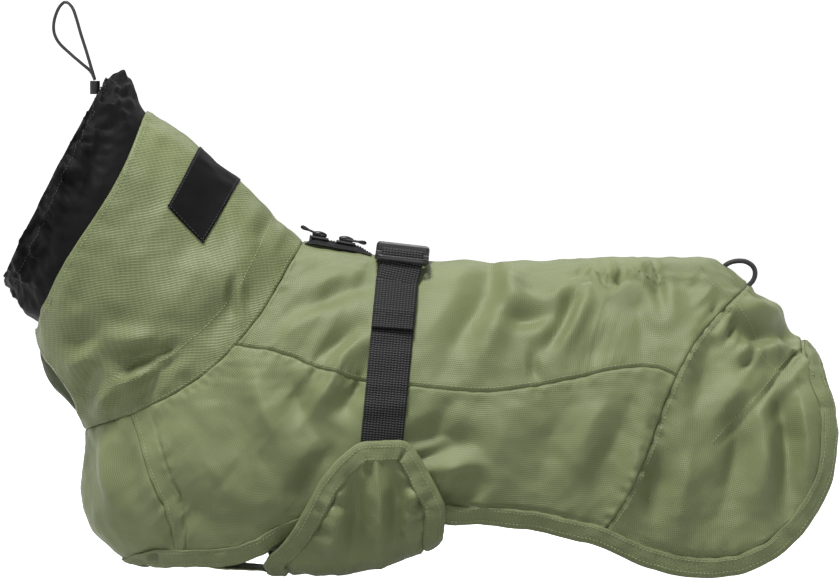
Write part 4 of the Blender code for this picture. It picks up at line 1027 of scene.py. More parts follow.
# ---------------------------------------------------------------- sewing
@dataclass
class Sewing:
    """Stitches along lines, made by one Geometry Nodes tree and kept as a plain mesh."""

    name: str
    finish: Finish
    pitch: float = 2.3
    length: float = 1.65
    radius: float = 0.25
    lines: list = field(default_factory=list)

    def add(self, line: Array) -> None:
        """Add one line of points, in millimetres."""
        self.lines.append(np.asarray(line))

    def tree(self, material: bpy.types.Material) -> bpy.types.NodeTree:
        """The node tree: mesh lines to a spaced row of stitches."""
        tree = bpy.data.node_groups.new("stitch_row", "GeometryNodeTree")
        sockets = tree.interface
        sockets.new_socket("Geometry", in_out="INPUT", socket_type="NodeSocketGeometry")
        for name in ("Pitch", "Stitch Length", "Thread Radius"):
            sockets.new_socket(name, in_out="INPUT", socket_type="NodeSocketFloat")
        sockets.new_socket("Geometry", in_out="OUTPUT", socket_type="NodeSocketGeometry")
        made = {}
        kinds = {"start": "NodeGroupInput", "end": "NodeGroupOutput", "curve": "GeometryNodeMeshToCurve",
                 "spaced": "GeometryNodeResampleCurve", "way": "GeometryNodeInputTangent",
                 "turn": "FunctionNodeAlignRotationToVector", "stitch": "GeometryNodeMeshUVSphere",
                 "size": "ShaderNodeCombineXYZ", "half": "ShaderNodeMath", "place": "GeometryNodeInstanceOnPoints",
                 "real": "GeometryNodeRealizeInstances", "paint": "GeometryNodeSetMaterial"}
        for key, kind in kinds.items():
            made[key] = tree.nodes.new(kind)
        made["spaced"].mode = "LENGTH"
        made["turn"].axis = "X"
        made["half"].operation = "MULTIPLY"
        made["half"].inputs[1].default_value = 0.5
        made["stitch"].inputs["Segments"].default_value = 6
        made["stitch"].inputs["Rings"].default_value = 4
        made["stitch"].inputs["Radius"].default_value = 1.0
        made["paint"].inputs["Material"].default_value = material
        start = made["start"].outputs
        for a, b in ((start["Geometry"], made["curve"].inputs["Mesh"]),
                     (made["curve"].outputs["Curve"], made["spaced"].inputs["Curve"]),
                     (start["Pitch"], made["spaced"].inputs["Length"]),
                     (made["way"].outputs["Tangent"], made["turn"].inputs["Vector"]),
                     (start["Stitch Length"], made["half"].inputs[0]),
                     (made["half"].outputs[0], made["size"].inputs[0]),
                     (start["Thread Radius"], made["size"].inputs[1]),
                     (start["Thread Radius"], made["size"].inputs[2]),
                     (made["spaced"].outputs["Curve"], made["place"].inputs["Points"]),
                     (made["stitch"].outputs["Mesh"], made["place"].inputs["Instance"]),
                     (made["turn"].outputs["Rotation"], made["place"].inputs["Rotation"]),
                     (made["size"].outputs[0], made["place"].inputs["Scale"]),
                     (made["place"].outputs["Instances"], made["real"].inputs["Geometry"]),
                     (made["real"].outputs["Geometry"], made["paint"].inputs["Geometry"]),
                     (made["paint"].outputs["Geometry"], made["end"].inputs["Geometry"])):
            tree.links.new(a, b)
        return tree

    def make(self, body: str = "coat") -> bpy.types.Object:
        """The stitches as one plain mesh on a body."""
        points = np.concatenate(self.lines) * MM
        edges, start = [], 0
        for line in self.lines:
            edges += [(start + k, start + k + 1) for k in range(len(line) - 1)]
            start += len(line)
        guide = bpy.data.objects.new(self.name + "_lines", bpy.data.meshes.new(self.name + "_lines"))
        guide.data.from_pydata(points.tolist(), edges, [])
        bpy.context.scene.collection.objects.link(guide)
        tree = self.tree(self.finish.material())
        row = guide.modifiers.new("Stitches", "NODES")
        row.node_group = tree
        sizes = {"Pitch": self.pitch, "Stitch Length": self.length, "Thread Radius": self.radius}
        for item in tree.interface.items_tree:
            if item.in_out == "INPUT" and item.name in sizes:
                row[item.identifier] = sizes[item.name] * MM
        mesh = bpy.data.meshes.new_from_object(guide.evaluated_get(bpy.context.evaluated_depsgraph_get()))
        bpy.data.objects.remove(guide, do_unlink=True)
        mesh.shade_smooth()
        obj = bpy.data.objects.new(self.name, mesh)
        bpy.context.scene.collection.objects.link(obj)
        return dress(obj, self.finish, body=body)


def skin_of(pieces: list) -> BVHTree:
    """A search tree of finished pieces, in millimetres."""
    graph = bpy.context.evaluated_depsgraph_get()
    points, faces = [], []
    for piece in pieces:
        mesh = piece.evaluated_get(graph).data
        start = len(points)
        places = np.empty(len(mesh.vertices) * 3, dtype=np.float32)
        mesh.vertices.foreach_get("co", places)
        points += (places.reshape(-1, 3) / MM).tolist()
        faces += [[start + k for k in face.vertices] for face in mesh.polygons]
    return BVHTree.FromPolygons(points, faces)


def on_skin(skin: BVHTree, point: Array, up: Array, lift: float, probe: float = 7.0) -> Array:
    """The point of a skin under a place, lifted; the place itself where there is none."""
    place, _, _, _ = skin.ray_cast(Vector(point + up * probe), Vector(-up), probe * 2)
    return (point if place is None else np.array(place)) + up * lift


def traced(skin: BVHTree, pixels: tuple, sign: int, lift: float = 0.12) -> Array:
    """A line of the side view laid on a skin; sign is 1 on the near side and -1 on the far side."""
    places = np.array([(*SIDE_VIEW.place(px, py), 0.0) for px, py in pixels])
    line = []
    for x, z, _ in evenly(places, 1.2):
        place, normal, _, _ = skin.ray_cast(Vector((x, -150.0 * sign, z)), Vector((0.0, sign, 0.0)), 300.0)
        if place is not None:
            line.append(np.array(place) - np.array(normal) * lift * np.sign(normal.y * sign))
    return np.array(line)


# ---------------------------------------------------------------- body panels
@dataclass
class BodyShell:
    """Back, side, chest and rump panels with their seams."""

    thickness: float = 1.0
    rows_a_section: int = 12
    seam_stitch: float = 2.6
    binding_width: float = 11.0
    panels: dict = field(default_factory=dict)
    grids: dict = field(default_factory=dict)

    def rows(self, start: float, end: float) -> Array:
        """Section places from start to end."""
        return np.linspace(start, end, int(round((end - start) * self.rows_a_section)) + 1)

    def grid(self, u: Array, low: Array, high: Array, columns: int) -> Cloth:
        """A grid between two t values at each section place."""
        share = np.linspace(0, 1, columns)[None, :]
        t = low[:, None] * (1 - share) + high[:, None] * share
        return Cloth(BODY.at(np.broadcast_to(u[:, None], t.shape), t))

    def back(self) -> None:
        """The back panel."""
        u = self.rows(0, RUMP_SEAM)
        edge = side_seam(u)
        cloth = self.grid(u, -edge, edge, 97)
        for k, border in enumerate(Edge):
            cloth.seam(border, pucker=0.5, bead=0.4, seed=20 + k)
        self.keep("back_panel", [cloth], "draped")

    def sides(self) -> None:
        """Both side panels."""
        u = self.rows(0, RUMP_SEAM)
        for sign, side in ((1, "left"), (-1, "right")):
            cloth = self.grid(u, sign * side_seam(u), sign * lower_edge(u), 93)
            cloth.facing = sign
            for k, border in enumerate((Edge.FIRST_ROW, Edge.LAST_ROW, Edge.FIRST_COLUMN)):
                cloth.seam(border, pucker=0.5, bead=0.45 if k == 1 else 0.0, seed=30 + k + sign)
            cloth.gather(Edge.LAST_COLUMN, self.binding_width, seed=34 + sign)
            self.keep(f"side_panel_{side}", [cloth], "hung", ("back_panel",))

    def chest(self) -> None:
        """The chest panel, in two halves that meet along the keel."""
        u = self.rows(0, 6.5)
        halves = []
        for sign in (1, -1):
            cloth = self.grid(u, sign * lower_edge(u), np.full(len(u), float(sign)), 41)
            cloth.facing = sign
            cloth.seam(Edge.FIRST_ROW, seed=40 + sign)
            cloth.seam(Edge.FIRST_COLUMN, seed=44 + sign)
            halves.append(cloth)
        self.keep("chest_panel", halves, "hung", ("side_panel_left", "side_panel_right"))

    def rump(self) -> None:
        """The rump panel."""
        u = self.rows(RUMP_SEAM, LAST_SECTION)
        one = np.ones(len(u))
        cloth = self.grid(u, -one, one, 221)
        cloth.seam(Edge.FIRST_ROW, pucker=0.85, seed=50)
        for k, border in enumerate((Edge.FIRST_COLUMN, Edge.LAST_COLUMN, Edge.LAST_ROW)):
            cloth.gather(border, self.binding_width, seed=51 + k)
        self.keep("rump_panel", [cloth], "hung", ("back_panel",))

    def keep(self, name: str, cloths: list, held: str, rests_on: tuple = ()) -> None:
        """Make a panel, dress it and log its cut."""
        piece = dress(sheet_of(name.replace("_panel", "_cloth"), cloths, self.thickness), Finishes.shell, (name,))
        declare(piece, cloths)
        self.panels[name] = piece
        self.grids[name] = cloths

    def seams(self, sewing: Sewing) -> None:
        """Topstitching beside every seam of the body."""
        back, rump = self.grids["back_panel"][0], self.grids["rump_panel"][0]
        lift = 0.10
        for border in (Edge.FIRST_COLUMN, Edge.LAST_COLUMN):
            sewing.add(back.inside(border, self.seam_stitch, lift))
        sewing.add(rump.inside(Edge.FIRST_ROW, self.seam_stitch, lift))
        for side in ("left", "right"):
            panel = self.grids[f"side_panel_{side}"][0]
            end = int(6.5 * self.rows_a_section)
            sewing.add(panel.inside(Edge.LAST_COLUMN, self.seam_stitch, lift)[:end])
        skin = skin_of(list(self.panels.values()))
        for pixels in TRACED_SEAMS:
            for sign in (1, -1):
                sewing.add(traced(skin, pixels, sign))

    def build(self) -> None:
        """All the panels."""
        self.back()
        self.sides()
        self.chest()
        self.rump()


@dataclass
class Binding:
    """A folded strip round an edge: its outer leg, its fold and its inner leg, with two rows of sewing."""

    name: str
    node: str
    width: float = 11.0
    inner_width: float = 8.0
    spacing: float = 2.2
    pucker: float = 0.40
    blend: int = 4
    over: float = 68.0
    seed: int = 3

    def seat(self, skin: BVHTree, feet: Array, ups: Array) -> Array:
        """How high the cloth lies over a row of feet, without the odd ray that slips through a seam."""
        heights = []
        for foot, up in zip(feet, ups):
            place, _, _, _ = skin.ray_cast(Vector(foot + up * 7.0), Vector(-up), 12.0)
            height = np.nan if place is None else float((np.array(place) - foot) @ up)
            heights.append(height if abs(height) < 5.0 else np.nan)
        heights = np.array(heights)
        known = ~np.isnan(heights)
        heights = np.interp(np.arange(len(heights)), np.flatnonzero(known), heights[known])
        padded = np.pad(heights, 3, mode="edge")
        heights = np.percentile([padded[k:k + len(heights)] for k in range(7)], self.over, axis=0)
        padded = np.pad(heights, 1, mode="edge")
        return (padded[:-2] + 2 * padded[1:-1] + padded[2:]) / 4

    def build(self, edge: Array, normals: Array, inward: Array, skins: list, sewing: Sewing) -> bpy.types.Object:
        """The binding along an edge.

        Args:
            edge: points of the edge on the outer face.
            normals: outward normals there.
            inward: rough directions from the edge into the cloth.
            skins: the pieces that it is sewn to.
            sewing: takes its lines of stitches.

        Returns:
            The binding.
        """
        run = np.concatenate(([0.0], np.cumsum(np.linalg.norm(np.diff(edge, axis=0), axis=-1))))
        places = np.linspace(0, run[-1], int(run[-1] / self.spacing) + 1)

        def resampled(values: Array) -> Array:
            return np.stack([np.interp(places, run, values[:, k]) for k in range(3)], -1)

        def softened(values: Array) -> Array:
            """Directions averaged over some neighbours."""
            padded = np.pad(values, ((self.blend, self.blend), (0, 0)), mode="edge")
            return unit(sum(padded[k:k + len(values)] for k in range(2 * self.blend + 1)))

        edge, normals, inward = resampled(edge), softened(unit(resampled(normals))), softened(unit(resampled(inward)))
        way = unit(np.gradient(edge, axis=0))
        normals = unit(normals - way * np.sum(normals * way, -1, keepdims=True))
        inner = np.cross(normals, way)
        inner *= np.sign(np.sum(inner * inward, -1, keepdims=True))
        skin = skin_of(skins)
        chance = np.random.default_rng(self.seed)
        wave = sum(np.sin(places * TURN / chance.uniform(7, 20) + chance.uniform(0, 6.28)) for _ in range(6))
        wave = wave * self.pucker / 2.4
        outer = ((self.width, 0.10), (self.width - 0.2, 0.70), (self.width - 1.2, 1.0), (self.width * 0.76, 1.1),
                 (self.width * 0.6, 1.1), (self.width * 0.44, 1.1), (self.width * 0.28, 1.05), (1.2, 0.95))

        def leg(distance: float, height: float) -> Array:
            """A line on the cloth under the binding, lifted."""
            foot = edge + inner * distance
            return foot + normals * (self.seat(skin, foot, normals) + height)[:, None]

        fold = edge - inner * 1.0
        rows = [leg(d, h + wave * math.sin(math.pi * min(d / self.width, 1))) for d, h in outer]
        rows += [fold + normals * 0.6, fold - inner * 0.55 - normals * 0.5, fold - normals * 1.7]
        rows += [edge + inner * 1.2 - normals * 2.0, leg(self.inner_width, -2.0), leg(self.inner_width, -1.3)]
        rows += [edge + inner * 0.8 - normals * 1.25, edge - inner * 0.2 - normals * 0.5,
                 edge + inner * 0.5 + normals * 0.12]
        rings = np.stack(rows, 1)
        for distance in (2.0, self.width - 2.0):
            sewing.add(leg(distance, 1.16 + wave * math.sin(math.pi * distance / self.width)))
        piece = dress(swept(self.name, rings), Finishes.edging, (self.node,))
        return piece


def half_path(line: Array, normals: Array, inner: Array) -> tuple[Array, Array, Array]:
    """A border line with its normals and its directions into the cloth."""
    return line, normals, inner - line


def border_path(cloth: Cloth, edge: Edge) -> tuple[Array, Array, Array]:
    """The line of a grid's border, its normals, and directions into the cloth."""
    line, normals = cloth.border(edge)
    turned = edge_way(edge, cloth.points)
    return half_path(line, normals, turned[2])


def chained(paths: list) -> tuple[Array, Array, Array]:
    """Paths joined end to end without doubled points."""
    joined = [np.concatenate(parts) for parts in zip(*paths)]
    keep = np.concatenate(([True], np.linalg.norm(np.diff(joined[0], axis=0), axis=-1) > 0.05))
    return tuple(part[keep] for part in joined)


def reversed_path(path: tuple) -> tuple:
    """A path run the other way."""
    return tuple(part[::-1] for part in path)


@dataclass
class Hems:
    """The bindings of the front hem and of the rear hem with the tail opening."""

    shell: BodyShell
    front_end: float = 9.5

    def build(self, sewing: Sewing) -> None:
        """Both bindings."""
        rows = self.shell.rows_a_section
        near_side = border_path(self.shell.grids["side_panel_left"][0], Edge.LAST_COLUMN)
        far_side = border_path(self.shell.grids["side_panel_right"][0], Edge.LAST_COLUMN)
        near_chest, far_chest = (border_path(c, Edge.LAST_COLUMN) for c in self.shell.grids["chest_panel"])
        seam, split = int(6.5 * rows), int(self.front_end * rows)
        chest_end = CHEST_END * rows
        part = lambda path, a, b: tuple(p[a:b] for p in path)
        front = chained([reversed_path(part(near_side, seam, split)), reversed_path(part(near_chest, chest_end, seam)),
                         part(far_chest, chest_end, seam), part(far_side, seam, split)])
        pieces = list(self.shell.panels.values())
        Binding("front_binding", "front_hem", seed=3).build(*front, pieces, sewing)
        rump = self.shell.grids["rump_panel"][0]
        rear = chained([part(near_side, split + 2, len(near_side[0])), border_path(rump, Edge.LAST_COLUMN),
                        reversed_path(border_path(rump, Edge.LAST_ROW)), reversed_path(border_path(rump, Edge.FIRST_COLUMN)),
                        reversed_path(part(far_side, split + 2, len(far_side[0])))])
        Binding("rear_binding", "rear_hem", seed=4).build(*rear, pieces, sewing)


# ---------------------------------------------------------------- collar, gusset, label and snood
@dataclass
class Collar:
    """The collar with its turned mouth, the throat gusset inside it and the bare label over the nape."""

    edge: float = 0.975
    arch: float = 0.125
    thickness: float = 1.0
    gusset_wrap: float = 0.80
    gusset_depth: float = 1.4
    label_rings: tuple = (1.88, 2.80)
    label_wrap: float = 0.322
    weave_slope: float = 0.72
    cloth: Cloth | None = None

    def build(self, sewing: Sewing, dark: Sewing) -> None:
        """The collar's pieces."""
        v = np.linspace(0, 4, 81)
        wrap = self.edge - self.arch * np.sin(math.pi * v / 4)
        share = np.linspace(1, -1, 181)[None, :]
        t = wrap[:, None] * share
        self.cloth = Cloth(COLLAR.at(np.broadcast_to(v[:, None], t.shape), t))
        self.cloth.seam(Edge.FIRST_ROW, seed=60)
        self.cloth.seam(Edge.LAST_ROW, depth=0.3, pucker=0.3, seed=61)
        for k, border in enumerate((Edge.FIRST_COLUMN, Edge.LAST_COLUMN)):
            self.cloth.seam(border, seed=62 + k)
        piece = sheet_of("collar_cloth_piece", [self.cloth], self.thickness, slope=self.weave_slope)
        dress(piece, Finishes.collar, ("collar",))
        declare(piece, [self.cloth])
        sewing.add(self.cloth.inside(Edge.FIRST_ROW, 2.6, 0.1))
        sewing.add(self.cloth.inside(Edge.LAST_ROW, 3.2, 0.1))
        sewing.add(self.cloth.inside(Edge.FIRST_ROW, 24.0, 0.1)[8:-8])
        for border in (Edge.FIRST_COLUMN, Edge.LAST_COLUMN):
            sewing.add(self.cloth.inside(border, 2.4, 0.1))
        self.gusset()
        self.label(dark)

    def gusset(self) -> None:
        """The gusset behind the collar's edges."""
        v = np.linspace(0.12, 3.88, 41)
        t = np.linspace(2 - self.gusset_wrap, self.gusset_wrap, 41)
        grid_v, grid_t = np.meshgrid(v, t, indexing="ij")
        near = np.where(grid_t <= 1, grid_t, grid_t - 2)
        inset = Surface(collar_plain, (COLLAR_CREASES, Crumple(seed=9)), facing=-1.0, lift=-self.gusset_depth)
        cloth = Cloth(inset.at(grid_v, near))
        piece = dress(sheet_of("gusset_cloth_piece", [cloth], 0.9), Finishes.gusset, ("throat_gusset",))
        declare(piece, [cloth])

    def label(self, dark: Sewing) -> None:
        """The bare patch."""
        v, t = np.meshgrid(np.linspace(*self.label_rings, 25), np.linspace(self.label_wrap, -self.label_wrap, 73),
                           indexing="ij")
        patch = Cloth(Surface(collar_plain, (COLLAR_CREASES, Crumple(seed=9)), -1.0, WALL + 0.9).at(v, t))
        piece = sheet_of("label_cloth", [patch], 0.8)
        dress(piece, Finishes.patch, ("label_patch",))
        declare(piece, [patch])
        for border in Edge:
            dark.add(patch.inside(border, 1.3, 0.05))


@dataclass
class Snood:
    """The black snood, gathered on its drawcord at the rim."""

    pleats: int = 18
    pleat_depth: float = 1.5
    thickness: float = 1.1
    crush: Crumple = Crumple(1.2, 13.0, 46.0, sharp=2.1, seed=31)

    def at(self, v: Array, t: Array) -> Array:
        """Points of the gathered snood."""
        rows = read_rows(SNOOD_RINGS, v)
        point = snood_plain(v, t)
        centre = np.stack(((rows[..., 0] + rows[..., 2]) / 2, 0 * v, (rows[..., 1] + rows[..., 3]) / 2), -1)
        out = unit(point - centre)
        grown = np.clip((v - 1.15) / 2.2, 0, 1)
        chance = np.random.default_rng(4)
        folds = self.pleat_depth * 0.8 * np.cos(math.pi * self.pleats * t + 0.6 * np.sin(3 * v + 9 * t))
        for _ in range(9):
            turns = chance.integers(3, 16)
            folds = folds + chance.uniform(0.3, 0.9) * np.cos(math.pi * turns * t + chance.uniform(0, 6.28)
                                                            + chance.uniform(-1.5, 1.5) * v)
        crushed = self.crush.heights(point)
        bunch = np.exp(-(t / 0.20) ** 2) * np.clip((v - 2.0) / 1.2, 0, 1)
        ridges = 1.8 * bunch * np.cos(2.1 * TURN * (v - 2.1) / 3 + 1.6 * np.sin(8 * t))
        ridges = ridges + 3.2 * np.exp(-(t / 0.13) ** 2) * np.exp(-((v - 2.6) / 0.6) ** 2)
        sunk = -1.2 * np.clip(1.15 - v, 0, 1)
        return point + out * ((folds + crushed * (1 + 0.35 * bunch)) * grown + ridges + sunk)[..., None]

    def build(self, dark: Sewing) -> None:
        """The snood."""
        v, t = np.meshgrid(np.linspace(0, 5, 71), 1 - 2 * np.arange(360) / 360, indexing="ij")
        cloth = Cloth(self.at(v, t))
        dark.add(cloth.inside(Edge.LAST_ROW, 9.0, 0.1))
        piece = sheet_of("snood_cloth_piece", [cloth], self.thickness, closed=True)
        dress(piece, Finishes.snood, ("snood",))
        declare(piece, [cloth], closed=True)


# ---------------------------------------------------------------- belly flap
@dataclass
class BellyFlap:
    """The belly panel with the binding of its flap."""

    thickness: float = 1.0
    setback: float = 2.2

    def strip_front(self, reach: Array) -> Array:
        """Where the strip starts behind the hem of the chest."""
        u = np.linspace(CHEST_END, 7, 40)
        places = body_plain(u, np.ones(40))
        return np.interp(reach, np.abs(places[:, 1]), places[:, 0]) + self.setback

    def build(self, sewing: Sewing) -> None:
        """The panel and its binding."""
        flaps = np.array(FLAPS)
        degrees = np.concatenate((np.linspace(0, 40, 25)[:-1], np.linspace(40, 78, 34)[:-1], np.linspace(78, 82.2, 10)))
        front, rear = (np.interp(degrees, flaps[:, 0], flaps[:, k]) for k in (1, 2))
        grids, halves = [], {}
        for sign in (1, -1):
            angle = np.broadcast_to(np.radians(degrees)[:, None], (len(degrees), 61)) * sign
            share = np.linspace(0, 1, 61)[None, :]
            x = front[:, None] * (1 - share) + rear[:, None] * share
            flap = Cloth(BELLY.at(x, angle), facing=sign)
            flap.gather(Edge.LAST_COLUMN, 11.0, 1.6, seed=90 + sign)
            flap.gather(Edge.FIRST_COLUMN, 11.0, 1.0, seed=94 + sign)
            halves[sign] = flap
            low = degrees <= FLAPS[STRIP_ROW][0] + 0.01
            start = self.strip_front(np.abs(belly_plain(np.full(low.sum(), -150.0), np.radians(degrees[low]))[:, 1]))
            strip_x = start[:, None] * (1 - share[:, ::2]) + front[low][:, None] * share[:, ::2]
            strip = Cloth(BELLY.at(strip_x, angle[low][:, ::2]), facing=sign)
            grids += [flap, strip]
        piece = dress(sheet_of("belly_cloth", grids, self.thickness), Finishes.shell, ("belly_panel",))
        declare(piece, grids, stacked=True)
        start = int(np.argmax(degrees > FLAPS[STRIP_ROW][0]))
        paths = {}
        for sign, flap in halves.items():
            up = tuple(p[start:] for p in border_path(flap, Edge.FIRST_COLUMN))
            paths[sign] = chained([up, border_path(flap, Edge.LAST_ROW), reversed_path(border_path(flap, Edge.LAST_COLUMN))])
        whole = chained([paths[1], reversed_path(paths[-1])])
        Binding("flap_binding_strip", "flap_binding", pucker=0.6, seed=8).build(*whole, [piece], sewing)


# ---------------------------------------------------------------- strap, zip and cords
@dataclass
class Straps:
    """The webbing of both sides, over the bars of the buckle."""

    width: float = 25.0
    webbing: float = 1.4
    section: float = 10.0
    foot_z: float = -114.0
    clearance: float = 0.4
    buckle_x: float = -22.8
    buckle_z: float = 3.8
    tilt: float = 6.6
    turns: tuple = ((20.6, -1.2), (20.2, 2.0), (21.4, 4.6), (25.0, 5.2), (28.2, 4.4), (29.6, 1.4), (30.6, -2.4))

    def lying(self, sign: int, offset: float, reach: float, bottom: float, count: int, skin: BVHTree) -> list:
        """Middles and crosswise directions of the strap on the body, from the spine down."""
        t = np.linspace(0.01, 0.99, 400)
        places = body_plain(np.full(400, self.section), t)
        good = t[(np.abs(places[:, 1]) >= reach) & (places[:, 2] >= bottom)]
        picked = sign * np.interp(np.linspace(0, len(good) - 1, count), np.arange(len(good)), good)
        u = np.full(count, self.section)
        plain = body_plain(u, picked)
        normal, wide, _ = Surface(body_plain).tangents(u, picked)
        wide = unit(wide)
        made = []
        for i in range(count):
            heights = []
            for share in np.linspace(-0.5, 0.5, 7):
                foot = plain[i] + wide[i] * self.width * share
                heights.append(float(np.dot(on_skin(skin, foot, normal[i], 0.0) - plain[i], normal[i])))
            made.append((plain[i] + normal[i] * (max(heights) + offset), wide[i]))
        return made

    def build(self, side: str, tail_z: float, skin: BVHTree, dark: Sewing) -> None:
        """One strap."""
        sign = 1 if side == "left" else -1
        low = 0.15 + self.webbing / 2
        lower = self.lying(sign, low, 25.0, self.foot_z, 34, skin)
        upper = self.lying(sign, low + self.webbing + 0.15, 33.0, tail_z, 14, skin)
        tilt = math.radians(self.tilt)
        across = np.array((math.cos(tilt), 0.0, -math.sin(tilt)))
        around = [(np.array((self.buckle_x + z * math.sin(tilt), -sign * y, self.buckle_z + z)), across)
                  for y, z in self.turns]
        route = lower[::-1] + around + upper
        middles = evenly(np.array([p for p, _ in route]), 1.6)
        keys = np.concatenate(([0.0], np.cumsum(np.linalg.norm(np.diff([p for p, _ in route], axis=0), axis=-1))))
        runs = np.concatenate(([0.0], np.cumsum(np.linalg.norm(np.diff(middles, axis=0), axis=-1))))
        wides = np.stack([np.interp(runs / runs[-1] * keys[-1], keys, [w[k] for _, w in route]) for k in range(3)], -1)
        way = unit(np.gradient(middles, axis=0))
        wides = unit(wides - way * np.sum(wides * way, -1, keepdims=True))
        ups = np.cross(wides, way)
        profile = [(-1, 0), (-0.97, 0.8), (-0.9, 1), (-0.45, 1), (0, 1), (0.45, 1), (0.9, 1), (0.97, 0.8),
                   (1, 0), (0.97, -0.8), (0.9, -1), (0, -1), (-0.9, -1), (-0.97, -0.8)]
        turned = np.where(np.arange(len(middles)) >= len(middles) - 9, 1.9, 1.0)
        away = -sign * np.sign(ups[-5][1])
        rings = [[m + w * a * self.width / 2 + n * (b * k + away * (k - 1)) * self.webbing / 2 for a, b in profile]
                 for m, w, n, k in zip(middles, wides, ups, turned)]
        piece = dress(swept(f"strap_webbing_{side}", np.array(rings)), Finishes.webbing, (f"strap_{side}",))
        "buckle_plug" if side == "left" else "buckle_socket"
        LOG.info("%s, %.0f mm long", piece.name, runs[-1])
        outer = middles[-7] + ups[-7] * away * (self.webbing * 1.4 + 0.1)
        dark.add(np.array([outer + wides[-7] * s * (self.width / 2 - 2) for s in np.linspace(-1, 1, 12)]))


@dataclass
class BuckleBars:
    """The front bar of each end of the buckle, which holds the webbing down."""

    x: float = -22.8
    z: float = 3.8
    tilt: float = 6.6
    height: float = 3.1
    depth: float = 2.0
    route: tuple = ((-15.0, 26.5), (-15.2, 29.4), (-14.6, 31.6), (-12.6, 32.5), (-6.0, 32.7), (0.0, 32.8),
                    (6.0, 32.7), (12.6, 32.5), (14.6, 31.6), (15.2, 29.4), (15.0, 26.5))
    rise: float = -0.2

    def build(self) -> None:
        """Both bars."""
        tilt = math.radians(self.tilt)
        along, up = np.array((math.cos(tilt), 0, -math.sin(tilt))), np.array((math.sin(tilt), 0, math.cos(tilt)))
        for sign, side in ((-1, "left"), (1, "right")):
            centre = np.array((self.x, 0.0, self.z)) + up * self.rise
            middles = evenly(np.array([centre + along * a + np.array((0, sign * y, 0)) for a, y in self.route]), 1.2)
            way = unit(np.gradient(middles, axis=0))
            out = np.cross(way, up)
            corners = [(math.copysign(abs(math.cos(a)) ** 0.6, math.cos(a)), math.copysign(abs(math.sin(a)) ** 0.6, math.sin(a)))
                       for a in np.linspace(0, TURN, 17)[:-1]]
            rings = np.stack([middles + out * c * self.depth / 2 + up * s * self.height / 2 for c, s in corners], 1)
            dress(swept(f"buckle_bar_{side}", rings), Finishes.plastic)


